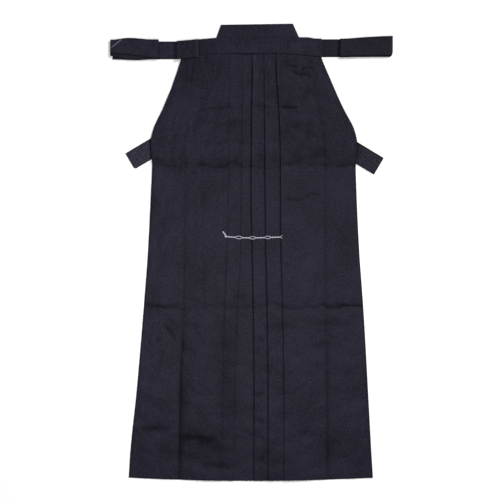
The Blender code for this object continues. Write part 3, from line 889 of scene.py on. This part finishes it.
def bandLevel(x):
    up = np.array(955.0)
    xs = [float(lineX(line, up)) + offset for line, offset, _ in bandPath]
    levels = [level for *_, level in bandPath]
    i = np.clip(np.searchsorted(xs, x, side="right") - 1, 0, len(xs) - 2)
    xs, levels = np.array(xs), np.array(levels, float)
    t = (x - xs[i]) / (xs[i + 1] - xs[i])
    return levels[i] + (levels[i + 1] - levels[i]) * easeInOut(t)


def frontBand():
    step, wall = band["step"], band["wall"]
    outside = band["left"] + wall / 2
    rows, wearsAndHighlights, shades = [], [], []
    for rise in band["rises"]:
        share = rise / band["height"]
        rightEnd = band["rightLow"] + (band["rightHigh"] - band["rightLow"]) * share - wall / 2
        # from the turned-in end, over the doubled end and back, along the front, to the right end
        levels = np.array([-0.8, -0.8, 2, 2, 1, 1, 0, 0, -1, -1])
        xs = np.array([
            band["left"] + band["turnIn"], outside, outside, band["foldInner"], band["foldInner"],
            outside + step, outside + step, rightEnd, rightEnd, rightEnd + wall / 2 - band["turnIn"],
        ])
        corners = list(zip(xs, levels * step))
        path, places = roundedPath(corners, step / 2 - 0.01, (2, 2, 18, 1, 14, 1, 110, 1, 2), 6)
        x = path[:, 0]
        y, _, _ = bandEdges(rise, x)
        # the doubled end hangs a little lower, and takes the cloth beside it along
        nearLeft = np.where(places <= 6.0, 1.0, np.clip((-150.0 - x) / 12.0, 0.0, 1.0))
        y = y - band["foldDrop"] * (1 - share) * nearLeft
        z = bandZ(rise, x, bandLevel(x)) + path[:, 1]
        raised = softWaves(x, y, **band["bumps"])
        # painted shade along the band's upper and lower edges
        atLeft, atRight = band["lowerEdgePaintedShade"]
        lowerPaintedShade = atLeft + (atRight - atLeft) * easeInOut((x + 100.0) / 200.0)
        shade = (
            band["upperEdgePaintedShade"] * np.exp(-(band["height"] - rise) / band["edgePaintedShadeWide"])
            + lowerPaintedShade * np.exp(-rise / band["edgePaintedShadeWide"])
        )
        # the creases are painted darker as well as pressed in
        for line, depth, wideLeft, wideRight in bandCreases:
            distance, strength = besideCrease(line, x, y, band["creaseFades"])
            dip = valley(distance, wideLeft, wideRight, band["creaseBlunt"])
            raised = raised - depth * strength * dip
            shade = shade + max(depth, 0.0) * strength * valley(distance, *band["creaseShade"])
        onTop = (places > 1.9) & (places < 4.0)
        for line, depth, wideLeft, wideRight in bandFoldCreases:
            distance, strength = besideCrease(line, x, y, band["creaseFades"])
            dip = valley(distance, wideLeft, wideRight, band["creaseBlunt"])
            fold = np.where(onTop, depth * strength * dip, 0.0)
            raised = raised - fold
            shade = shade + 0.8 * fold
        fromFold = x - band["foldInner"]
        high, fades = band["foldLift"]
        lift = high * np.exp(-np.abs(fromFold) / fades) * ((places > 2.5) & (places < 5.0))
        rows.append(np.stack([x, y, z + raised + lift], axis=1))
        # a painted highlight, with some wear, along the doubled end's fold, stronger towards the top
        wearsAndHighlights.append(((places > 2.9) & (places < 3.2)) * (0.5 + 0.5 * share))
        # the doubled end's shade is painted on the single cloth beside it
        past = np.maximum(fromFold - 1.0, 0.0)
        (dark, narrow), (soft, broad) = band["besideFoldPaintedShade"]
        beside = dark * np.exp(-past / narrow) + soft * np.exp(-(past / broad) ** 2)
        shades.append(shade + np.where((fromFold > 0) & (places > 6.0), beside, 0.0))
    points = np.array(rows)
    obj = clothGrid("waistband_front", points, weaveAlong(points), np.array(wearsAndHighlights), np.array(shades))
    return giveWall(obj, wall, 0.3)


frontBandPiece = frontBand()
print("waistband")


ties = {
    "wall": 1.0,
    "tipZ": 0.12,
    "crown": 0.35,
    "spacing": 1.8,         # rows along it, closer together from a little before it shows
    "hiddenSpacing": 8.0,
    "closerFrom": 30.0,
    "acrossSpacing": 2.4,
    "edgePaintedShade": 0.75,
    "edgePaintedShadeWide": 1.5,
    # underside: where it starts, over the other tie, below it, near the slit, and past the slit
    "left": {
        "start": (134.0, 441.0), "tip": (-269.8, 202.3), "leavesAt": -229.0, "roundTip": 4.0,
        "fuller": 0.08, "heights": (3.15, 3.15, 1.75, 1.75, 1.2),
        "bumps": {"seed": 41, "count": 26, "longest": 34.0, "shortest": 8.0, "height": 0.34},
    },
    "right": {
        "start": (-138.0, 443.0), "tip": (283.0, 191.3), "leavesAt": 238.0, "roundTip": 0.8,
        "fuller": 0.13, "heights": (3.25, 3.25, 3.25, 2.2, 1.5),
        "bumps": {"seed": 42, "count": 26, "longest": 34.0, "shortest": 8.0, "height": 0.34},
    },
}


def frontTie(name, side):
    tie = ties[side]
    start, tip = Vector(tie["start"]), Vector(tie["tip"])
    length = (tip - start).length
    ahead = (tip - start).normalized()
    aside = Vector((-ahead.y, ahead.x))
    leaves = length * (tie["leavesAt"] - start.x) / (tip.x - start.x)
    closer = leaves - ties["closerFrom"]
    hidden = spread(0.0, closer, ties["hiddenSpacing"])
    along = np.concatenate([hidden, spread(closer, length, ties["spacing"])[1:]])
    half, gap = garment["tieWidth"] / 2, ties["acrossSpacing"]
    inner = spread(-half + gap, half - gap, gap)
    across = np.concatenate([[-half, -half + gap / 3], inner, [half - gap / 3, half]])
    d, w = np.meshgrid(along, across, indexing="ij")
    # the tip's upper corner is rounded off
    corner = tie["roundTip"] * np.clip((w - half) / 4.0 + 1, 0.0, 1.0) ** 2
    d = d - corner * easeInOut((d - length + 20.0) / 20.0)
    # it lies flatter and wider past the leg
    wide = w * (1 + tie["fuller"] * easeInOut((d - leaves + 46.0) / 24.0))
    x = start.x + ahead.x * d + aside.x * wide
    y = start.y + ahead.y * d + aside.y * wide
    places = (0.0, 75.0, 120.0, leaves - 25.0, leaves + 6.0, length)
    z = smoothRead(list(zip(places, (*tie["heights"], ties["tipZ"]))), d) + ties["wall"] / 2
    out = easeInOut((d - leaves - 2.0) / 14.0)
    crumple = softWaves(x, y, **tie["bumps"]) * out
    crown = ties["crown"] * out * np.cos(w / half * math.pi / 2)
    z = z + np.maximum(crumple, -0.3) + crown
    z = np.maximum(z, ties["tipZ"] + ties["wall"] / 2)
    points = np.stack([x, y, z], axis=2)
    # painted shade where the leg above shades the root, on the right as a wedge below the slit's
    # upper end, over some painted shade on the whole right tail
    up = y + garment["length"] / 2
    if side == "left":
        outside = lineX("left", up) - x
        shade = 0.95 * np.exp(-(np.maximum(outside - 1.0, 0.0) / 2.6) ** 2)
    else:
        outside = x - lineX("right", up)
        shade = 0.4 + 0.6 * np.exp(-np.maximum(outside, 0.0) / 6.0) * easeInOut((y - 204.0) / 10.0)
    # painted shade along its sides and at its tip
    fromEdge = np.minimum(half - np.abs(w), d.max() - d)
    shade = shade + ties["edgePaintedShade"] * np.exp(-fromEdge / ties["edgePaintedShadeWide"])
    return giveWall(clothGrid(name, points, weaveAlong(points), None, shade), ties["wall"], 0.3)


frontTieLeft = frontTie("front_tie_tail_left", "left")
frontTieRight = frontTie("front_tie_tail_right", "right")


# a bundle's turns give lower and upper edge and how far it stops short, from the board outwards
bundles = {
    "wall": 1.2,
    "pitch": 1.7,
    "rest": 0.12,
    "longSteps": 52,
    "shortSteps": 26,
    "loosest": 0.25,
    "lip": 0.5,             # how far the edges of a folded tie hang
    "edgePaintedShade": 0.6,
    "endPaintedShade": 0.5,
    "edgePaintedShadeWide": 1.5,
    # painted shade beside the top pass's lower edge: on it, and on what lies below
    "topPaintedShade": (0.75, 1.2),
    "underPaintedShade": (0.8, 1.6),
    "right": {
        "outer": -313.5, "inner": -205.5,
        "bumps": {"seed": 51, "count": 18, "longest": 60.0, "shortest": 18.0, "height": 0.25},
        "turns": ((429.6, 469, 0), (428.6, 468.5, 5), (429.4, 471.5, 0), (436, 471.8, 0),
                  (430.4, 472.2, 0.6), (441.8, 472, 0.8)),
        "middles": ((429, 468.5), (426.8, 470), (432, 476), (428.6, 472), (437, 472.5)),
        "middleAt": (0.5, 0.5, 0.62, 0.5, 0.5),
        "looseCorner": ((0.0, 0.0), (0.4, 0.0), (1.0, 22.0)),
        "roundCorner": ((0.0, 0.0), (1.0, 0.0)),
        "allOverPaintedShade": 0.0,
    },
    "left": {
        "outer": 313.5, "inner": 195.5,
        "bumps": {"seed": 52, "count": 18, "longest": 60.0, "shortest": 18.0, "height": 0.25},
        "turns": ((433.8, 473, 0), (434.2, 473.5, 0.4), (433, 473.2, 0), (435.8, 480, 0),
                  (433.9, 473.8, 0.6), (436.2, 479, 1.2)),
        "middles": ((434, 473.5), (434, 473.2), (434.4, 475.5), (434.8, 477.5), (435.2, 476.3)),
        "middleAt": (0.5, 0.5, 0.5, 0.5, 0.5),
        "looseCorner": ((0.0, 0.0), (1.0, 0.5)),
        "roundCorner": ((0.0, 6.5), (0.04, 3.2), (0.1, 1.2), (0.18, 0.2), (1.0, 0.0)),
        "allOverPaintedShade": 0.42,
    },
}


def boardSide(y, isLeft):
    corners = board["corners"]
    low, high = (corners[0], corners[3]) if isLeft else (corners[1], corners[2])
    return plainRead([(low[1], low[0]), (high[1], high[0])], y)


def bundleCorners(bundle, share, ends, outwards):
    # X and Z where the tie turns, from the board to its loose end, at this share of its width
    turns, passes = bundle["turns"], len(bundle["middles"])
    z = bundles["wall"] / 2 + bundles["rest"]
    startY = turns[0][0] + (turns[0][1] - turns[0][0]) * share
    corners = [(float(boardSide(startY, outwards < 0)) + outwards * 0.35, z)]
    for number in range(passes):
        goesOut = number % 2 == 0
        inward = -outwards if goesOut else outwards
        short = turns[number + 1][2]
        if goesOut:
            short += float(plainRead(bundle["roundCorner"], share))
        x = ends[1 if goesOut else 0] + inward * short
        low = z + bundles["pitch"] * number
        if number == passes - 1:
            corners.append((x + inward * float(plainRead(bundle["looseCorner"], share)), low))
        else:
            corners += [(x, low), (x, low + bundles["pitch"])]
    return corners


def passEdge(bundle, edge, places):
    # Y of the lower or upper edge, through each turn and the middle of each pass
    turns, passes = bundle["turns"], len(bundle["middles"])
    marks = [(0.0, turns[0][edge])]
    for number in range(passes):
        marks.append((2 * number + bundle["middleAt"][number], bundle["middles"][number][edge]))
        marks.append((2 * number + 1.0, turns[number + 1][edge]))
        if number < passes - 1:
            marks.append((2 * number + 2.0, turns[number + 1][edge]))
    return smoothRead(marks, places)


def backTie(name, side):
    bundle = bundles[side]
    outwards = 1.0 if bundle["outer"] > 0 else -1.0
    half = bundles["wall"] / 2
    ends = (bundle["inner"] + outwards * half, bundle["outer"] - outwards * half)
    shares = np.concatenate([
        [0.0, 0.02, 0.04, 0.07, 0.1], np.linspace(0.14, 0.88, 19), [0.94, 0.98, 1.0],
    ])
    passes = len(bundle["middles"])
    runSteps = [bundles["longSteps"], 1] + [bundles["shortSteps"], 1] * (passes - 2)
    runSteps.append(bundles["longSteps"])
    rows = []
    for share in shares:
        corners = bundleCorners(bundle, share, ends, outwards)
        path, places = roundedPath(corners, bundles["pitch"] / 2 - 0.01, runSteps, 6)
        low, high = passEdge(bundle, 0, places), passEdge(bundle, 1, places)
        rows.append(np.stack([path[:, 0], low + (high - low) * share, path[:, 1]], axis=1))
    points = np.array(rows)
    x, y = points[:, :, 0], points[:, :, 1]
    shares = shares[:, None]
    inBundle = easeInOut((np.abs(x) - abs(bundle["inner"]) + 4) / 8)
    stack = np.clip(points[:, :, 2] / (bundles["pitch"] * passes), 0.0, 1.0)
    loosen = softWaves(x, y, **bundle["bumps"]) * inBundle * stack
    lip = bundles["lip"] * np.abs(shares * 2 - 1) ** 3 * stack * inBundle
    loosest = bundles["loosest"]
    points[:, :, 2] += np.maximum(loosen, -loosest) + loosest * stack * inBundle - lip * 0.6
    weave = weaveAlong(points)
    # the loose end is turned under on the slant: its fold stands a little and shows wear with a
    # painted highlight
    topPass = bundles["longSteps"] + 1
    beforeEnd = np.linalg.norm(points[:, -1:, :2] - points[:, :, :2], axis=2)
    isTop = np.zeros(x.shape, bool)
    isTop[:, -topPass:] = True
    slant = np.clip((shares - 0.38) / 0.12, 0.0, 1.0) if side == "right" else 0.15
    wearAndHighlight = np.where(isTop, np.exp(-(beforeEnd / 2.7) ** 2) * slant, 0.0)
    points[:, :, 2] += np.where(isTop, 0.35 * np.exp(-(beforeEnd / 3.0) ** 2) * slant, 0.0)
    # what lies under the top pass gets painted shade, most of all beside its lower edge, and one
    # bundle is painted darker all over
    xOrder = np.argsort(x[0, -topPass:])
    topLow = np.interp(x, x[0, -topPass:][xOrder], y[0, -topPass:][xOrder])
    onTop, under = (
        dark * np.exp(-np.abs(y - topLow) / wide)
        for dark, wide in (bundles["topPaintedShade"], bundles["underPaintedShade"])
    )
    shade = np.where(isTop, onTop, under) + bundle["allOverPaintedShade"]
    # painted shade along its edges and at its ends
    fromEdge = np.minimum(shares, 1 - shares) * 40.0
    fromEnds = np.minimum(np.abs(x - ends[0]), np.abs(x - ends[1]))
    for away, dark in ((fromEdge, bundles["edgePaintedShade"]), (fromEnds, bundles["endPaintedShade"])):
        shade = shade + dark * np.exp(-away / bundles["edgePaintedShadeWide"])
    shade = np.where(wearAndHighlight > 0.15, 0.0, shade)
    return giveWall(clothGrid(name, points, weave, wearAndHighlight, shade), bundles["wall"], 0.35)


backTieRight = backTie("back_tie_bundle_right", "right")
backTieLeft = backTie("back_tie_bundle_left", "left")
print("ties and bundles")


thread = {
    "plyRadius": 0.42,
    "plyTwist": 2.6,       # one turn of the two plies, in millimetres
    "strandTwist": 13.0,   # one turn of the two strands about each other
    "line": ((-57.0, 35.6), (-50.0, 34.6), (-40.0, 33.7), (0.0, 32.2), (40.0, 33.2), (68.0, 34.2)),
    "eyes": ((-28.0, 2.9), (2.5, 2.7), (36.0, 2.7)),
    "eyeReach": 6.0,
    "tail": ((-57.0, 35.6), (-57.6, 38.6), (-60.4, 42.0), (-63.4, 46.4)),
    "tailApart": 0.55,
    "twistsPast": 0.75,    # how far the strands pass aside and over each other
    "twistsOver": 0.7,
    "spacing": 0.55,
    "above": 1.0,
    "splits": 62.0,        # where the two strands part at the photo's right end, and how wide
    "splitWide": 3.0,
}

treesBelow = []
for piece in (frontRight, frontLeft):
    bm = bmesh.new()
    bm.from_mesh(piece.data)
    treesBelow.append(BVHTree.FromBMesh(bm))
    bm.free()


def surfaceZ(x, y):
    above, down = Vector((x * mm, y * mm, 0.05)), Vector((0, 0, -1))
    hits = [tree.ray_cast(above, down)[0] for tree in treesBelow]
    return max(hit.z for hit in hits if hit) / mm


def basting():
    curve = bpy.data.curves.new("basting_thread", "CURVE")
    curve.dimensions = "3D"
    curve.bevel_depth = thread["plyRadius"] * mm
    curve.bevel_resolution = 2
    curve.use_fill_caps = True

    def strandPath(points, phase):
        # two plies twisted about the strand's own line
        points = np.array(points)
        steps = np.linalg.norm(np.diff(points, axis=0), axis=1)
        far = np.concatenate([[0.0], np.cumsum(steps)])
        for ply in range(2):
            spline = curve.splines.new("POLY")
            spline.points.add(len(points) - 1)
            for i, (point, s) in enumerate(zip(points, far)):
                angle = 2 * math.pi * s / thread["plyTwist"] + math.pi * ply + phase
                j = min(i, len(points) - 2)
                ahead = points[j + 1] - points[j]
                ahead = ahead / np.linalg.norm(ahead)
                aside = np.cross(ahead, (0.0, 0.0, 1.0))
                aside = aside / np.linalg.norm(aside)
                over = np.cross(aside, ahead)
                reach = thread["plyRadius"] * 0.8
                place = point + (aside * math.cos(angle) + over * math.sin(angle)) * reach
                spline.points[i].co = (*(place * mm), 1.0)

    left, right = thread["line"][0][0], thread["line"][-1][0]
    xs = spread(left, right, thread["spacing"])
    centre = smoothRead(thread["line"], xs)
    for side in (1.0, -1.0):
        points = []
        for x, y in zip(xs, centre):
            opening = sum(
                wide * math.exp(-((x - at) / thread["eyeReach"]) ** 4) for at, wide in thread["eyes"]
            )
            opening = max(opening, thread["splitWide"] * easeInOut((x - thread["splits"]) / 6.0))
            turn = 2 * math.pi * (x - left) / thread["strandTwist"]
            twist = max(0.0, 1 - opening / 1.5)
            sway = twist * thread["twistsPast"] * math.cos(turn) * (1 if opening < 0.2 else 0.6)
            offset = side * (opening + sway)
            height = side * twist * thread["twistsOver"] * math.sin(turn)
            z = surfaceZ(x, y + offset) + thread["above"] + max(height, -0.2)
            points.append((x, y + offset, z))
        points = np.array(points)
        # thread bridges the steps between pleats
        for _ in range(6):
            smooth = points[:, 2].copy()
            smooth[1:-1] = (points[:-2, 2] + points[1:-1, 2] * 2 + points[2:, 2]) / 4
            points[:, 2] = np.maximum(smooth, points[:, 2] - 0.05)
        strandPath(points, 0.0 if side > 0 else 1.3)
    # the knot: two small turns, then the cut tail
    turns = np.linspace(0.0, 4 * math.pi, 44)
    knotX, knotY = thread["tail"][0]
    knotZ = surfaceZ(knotX, knotY) + 1.2
    knot = [(knotX + 1.5 * math.cos(t) + 0.5 * math.cos(2.3 * t), knotY + 1.9 * math.sin(t),
             knotZ + 0.5 + 0.8 * math.sin(1.5 * t)) for t in turns]
    strandPath(knot, 0.4)
    tail = np.array(thread["tail"])
    far = np.concatenate([[0.0], np.cumsum(np.linalg.norm(np.diff(tail, axis=0), axis=1))])
    at = spread(0.0, float(far[-1]), 0.5)
    tx = smoothRead(list(zip(far, tail[:, 0])), at)
    ty = smoothRead(list(zip(far, tail[:, 1])), at)
    for side in (-1.0, 1.0):
        shift = side * thread["tailApart"]
        strandPath([(x + shift, y + shift * 0.5, surfaceZ(x, y) + thread["above"])
                    for x, y in zip(tx, ty)], side)
    made = newObject("basting_thread", curve)
    graph = bpy.context.evaluated_depsgraph_get()
    mesh = bpy.data.meshes.new_from_object(made.evaluated_get(graph), depsgraph=graph)
    bpy.data.objects.remove(made)
    bpy.data.curves.remove(curve)
    mesh.name = "basting_thread"
    mesh.polygons.foreach_set("use_smooth", [True] * len(mesh.polygons))
    return newObject("basting_thread", mesh)


bastingThread = basting()
print("basting thread")


def linear(hexColour):
    # an sRGB hex colour as the linear values that Blender works in
    parts = [int(hexColour[i:i + 2], 16) / 255 for i in (1, 3, 5)]
    return tuple(p / 12.92 if p <= 0.04045 else ((p + 0.055) / 1.055) ** 2.4 for p in parts) + (1.0,)


def fillSockets(node, sockets):
    # an output is linked, and any other value is set on the socket itself
    for socket, value in sockets.items():
        if isinstance(value, bpy.types.NodeSocket):
            node.id_data.links.new(value, node.inputs[socket])
        else:
            node.inputs[socket].default_value = value


def addNode(material, kind, sockets, **settings):
    made = material.node_tree.nodes.new("ShaderNode" + kind)
    for name, value in settings.items():
        setattr(made, name, value)
    fillSockets(made, sockets)
    return made


def perMetre(size):
    # how often a pattern of this size in millimetres comes in a metre
    return 1 / (size * mm)


def newMaterial(name):
    material = bpy.data.materials.new(name)
    material.use_nodes = True
    return material, material.node_tree.nodes["Principled BSDF"]


twillLook = {
    "dark": "#0f0d19",
    "light": "#1f1c2c",
    # the colours of wear with its painted highlights, and of the painted shade
    "wornAndHighlit": "#4a4757",
    "inShade": "#050409",
    # sizes and heights are millimetres of cloth
    "twillPitch": 1.1,      # ribs are really about 0.5 mm apart, drawn coarser so that they show
    "twillHeight": 0.022,
    "slubSize": 2.6316,     # thick places in a yarn, longer along it
    "slubStretch": 0.16,
    "slubHeight": 0.12,
    "grainSize": 4.3478,    # unevenness of the weave
    "grainHeight": 0.42,
    "crumpleSize": 16.129,  # small dents left by folding
    "crumpleHeight": 0.80,
    "patchSize": 90.909,    # patches of dye
    "slubTone": 0.6,        # how much each counts in the dye's unevenness, and the range it spans
    "grainTone": 2.2,
    "toneFrom": 1.9,
    "toneTo": 2.5,
    # how strongly the painted highlights and the painted shade show, and how much duller the painted
    # shade is
    "wearAndHighlightShare": 0.1,
    "paintedShadeShare": 0.85,
    "paintedShadeRougher": 0.3,
    "roughness": 0.53,
    "specular": 0.12,
    "sheen": 0.02,
    "sheenRoughness": 0.45,
}


def twill(name, look):
    # cotton and polyester twill, yarn-dyed navy and pressed: matt, with a faint bloom at a low angle
    material, surface = newMaterial(name)
    place = addNode(material, "TexCoord", {}).outputs["Object"]
    weave = addNode(material, "UVMap", {}, uv_map="weave").outputs["UV"]
    # ribs run at 45 degrees to the warp
    ribScale = 2 * math.pi / (10 * look["twillPitch"] * mm)
    ribs = addNode(
        material, "TexWave", {"Vector": weave, "Scale": ribScale, "Distortion": 0.6, "Detail": 1.0},
        wave_type="BANDS", bands_direction="DIAGONAL",
    )
    # thicker and thinner yarns, along the warp and along the weft
    yarns = []
    for stretch in ((1.0, look["slubStretch"], 1.0), (look["slubStretch"], 1.0, 1.0)):
        along = addNode(material, "Mapping", {"Vector": weave, "Scale": stretch}).outputs[0]
        yarns.append(addNode(
            material, "TexNoise",
            {"Vector": along, "Scale": perMetre(look["slubSize"]), "Detail": 2.0},
        ).outputs[0])
    slub = addNode(material, "Math", {0: yarns[0], 1: yarns[1]}, operation="ADD").outputs[0]
    grain = addNode(
        material, "TexNoise",
        {"Vector": weave, "Scale": perMetre(look["grainSize"]), "Detail": 3.0, "Roughness": 0.65},
    ).outputs[0]
    crumple, patches = (
        addNode(
            material, "TexNoise", {"Vector": place, "Scale": perMetre(look[size]), "Detail": 3.0}
        ).outputs[0]
        for size in ("crumpleSize", "patchSize")
    )
    height = addNode(
        material, "Math", {0: ribs.outputs["Fac"], 1: look["twillHeight"]}, operation="MULTIPLY"
    ).outputs[0]
    for bumps, tall in ((slub, "slubHeight"), (grain, "grainHeight"), (crumple, "crumpleHeight")):
        height = addNode(
            material, "Math", {0: bumps, 1: look[tall], 2: height}, operation="MULTIPLY_ADD"
        ).outputs[0]
    # the dye takes unevenly: by patch, by yarn, and a little from one place to the next
    shade = patches
    for uneven, share in ((slub, "slubTone"), (grain, "grainTone")):
        shade = addNode(
            material, "Math", {0: uneven, 1: look[share], 2: shade}, operation="MULTIPLY_ADD"
        ).outputs[0]
    bump = addNode(material, "Bump", {"Height": height, "Distance": mm, "Strength": 1.0})
    tone = addNode(
        material, "MapRange",
        {"Value": shade, "From Min": look["toneFrom"], "From Max": look["toneTo"]},
    )
    colour = addNode(
        material, "Mix", {0: tone.outputs[0], 6: linear(look["dark"]), 7: linear(look["light"])},
        data_type="RGBA",
    ).outputs[2]
    # rubbed edges are paler and carry painted highlights, and painted shade makes creases and edges
    # darker and duller
    for attribute, share, tint in (("wearAndHighlight", "wearAndHighlightShare", "wornAndHighlit"), ("paintedShade", "paintedShadeShare", "inShade")):
        amount = addNode(
            material, "Attribute", {}, attribute_name=attribute, attribute_type="GEOMETRY"
        ).outputs["Fac"]
        part = addNode(material, "Math", {0: amount, 1: look[share]}, operation="MULTIPLY").outputs[0]
        colour = addNode(
            material, "Mix", {0: part, 6: colour, 7: linear(look[tint])}, data_type="RGBA"
        ).outputs[2]
    pressed = addNode(
        material, "MapRange",
        {"Value": crumple, "To Min": look["roughness"] - 0.05, "To Max": look["roughness"] + 0.05},
    ).outputs[0]
    matt = addNode(
        material, "Math", {0: amount, 1: look["paintedShadeRougher"], 2: pressed}, operation="MULTIPLY_ADD"
    )
    fillSockets(surface, {
        "Base Color": colour, "Roughness": matt.outputs[0], "Normal": bump.outputs[0],
        "Specular IOR Level": look["specular"], "Sheen Weight": look["sheen"],
        "Sheen Roughness": look["sheenRoughness"],
    })
    return material


threadLook = {
    "pale": "#cfccd8",
    "deep": "#a9a6b8",
    "fuzzSize": 0.52632,
    "fuzzHeight": 0.15,
    "roughness": 0.8,
    "specular": 0.25,
}


def cottonThread(name, look):
    # soft-twisted white basting cotton, a little grey against the navy: matt and slightly fuzzy
    material, surface = newMaterial(name)
    place = addNode(material, "TexCoord", {}).outputs["Object"]
    # fibres stand off by the half millimetre
    fuzz = addNode(
        material, "TexNoise",
        {"Vector": place, "Scale": perMetre(look["fuzzSize"]), "Detail": 2.0},
    ).outputs[0]
    colour = addNode(
        material, "Mix", {0: fuzz, 6: linear(look["deep"]), 7: linear(look["pale"])}, data_type="RGBA"
    )
    bump = addNode(
        material, "Bump", {"Height": fuzz, "Distance": look["fuzzHeight"] * mm, "Strength": 1.0}
    )
    fillSockets(surface, {
        "Base Color": colour.outputs[2], "Normal": bump.outputs[0], "Roughness": look["roughness"],
        "Specular IOR Level": look["specular"],
    })
    return material


navyTwill = twill("navy_twill_cloth", twillLook)
boardTwill = twill("navy_twill_on_board", {**twillLook, "crumpleHeight": 0.5})
# the bundles' twill paints a strong highlight on the turned-under fold
tieTwillPaintedHighlight = twill("navy_twill_tie_painted_highlight", {**twillLook, "light": "#22202f", "crumpleHeight": 0.9,
                                    "wornAndHighlit": "#6a6776", "wearAndHighlightShare": 0.9})
# the tails' twill is painted lighter, as sheen
tailTwillPaintedSheen = twill("navy_twill_tail_painted_sheen", {**twillLook, "light": "#312e3d", "dark": "#151320",
                                      "crumpleHeight": 0.9})
whiteCotton = cottonThread("white_basting_cotton", threadLook)


pieceFacts = (
    (frontRight, navyTwill, ("front_leg_right",), "navy_twill"),
    (frontLeft, navyTwill, ("front_leg_left",), "navy_twill"),
    (backRight, navyTwill, ("back_leg_right",), "navy_twill"),
    (backLeft, navyTwill, ("back_leg_left",), "navy_twill"),
    (frontBandPiece, navyTwill, ("front_band",), "navy_twill"),
    (boardCover, boardTwill, ("back_board",), "navy_twill_over_board"),
    (frontTieLeft, tailTwillPaintedSheen, ("front_tie_left",), "navy_twill"),
    (frontTieRight, tailTwillPaintedSheen, ("front_tie_right",), "navy_twill"),
    (backTieRight, tieTwillPaintedHighlight, ("back_tie_right",), "navy_twill"),
    (backTieLeft, tieTwillPaintedHighlight, ("back_tie_left",), "navy_twill"),
    (bastingThread, whiteCotton, (), None),
)
for piece, material, nodes, slotName in pieceFacts:
    piece.data.materials.clear()
    piece.data.materials.append(material)
    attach(piece, "root")
    if nodes:
        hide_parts(*nodes)


studio = {
    "cameraHeight": 3.2,
    "lens": 103.3,
    "lookAt": (-0.0011, 0.0032),
    "keyAt": (3.2, 2.9, 3.8),
    "keySize": 1.8,
    "keyPower": 240.0,
    "overheadAt": (-0.1, -0.14, 1.25),
    "overheadSize": 0.8,
    "overheadPower": 8.2,
    "fill": 0.35,
    "floorHalf": 12.0,
    "floorColour": "#fcfcfc",
}


def studioRoom():
    floor = newObject("floor", gridMesh("floor", 1, 1, studio["floorHalf"]))
    # matt white backdrop: bright, and too dull to mirror the cloth
    backdrop, surface = newMaterial("matt_white_backdrop")
    fillSockets(surface, {
        "Base Color": linear(studio["floorColour"]), "Roughness": 0.95, "Specular IOR Level": 0.1,
    })
    floor.data.materials.append(backdrop)
    for name in ("key", "overhead"):
        at = studio[name + "At"]
        light = bpy.data.lights.new(name, "AREA")
        light.shape = "SQUARE"
        light.size = studio[name + "Size"]
        light.energy = studio[name + "Power"]
        lamp = newObject(name, light)
        lamp.location = at
        lamp.rotation_euler = Vector(at).to_track_quat("Z", "Y").to_euler()
        lamp.visible_camera = False
    world = bpy.data.worlds.new("soft white room")
    world.use_nodes = True
    fillSockets(world.node_tree.nodes["Background"],
                {"Color": (1.0, 1.0, 1.0, 1.0), "Strength": studio["fill"]})
    bpy.context.scene.world = world
    camera = bpy.data.cameras.new("camera")
    camera.sensor_width = 36.0
    camera.lens = studio["lens"]
    camera.clip_end = 50.0
    eye = newObject("camera", camera)
    eye.location = (*studio["lookAt"], studio["cameraHeight"])
    bpy.context.scene.camera = eye
    bpy.context.scene.view_settings.view_transform = "Standard"


studioRoom()
print("floor, light and camera")
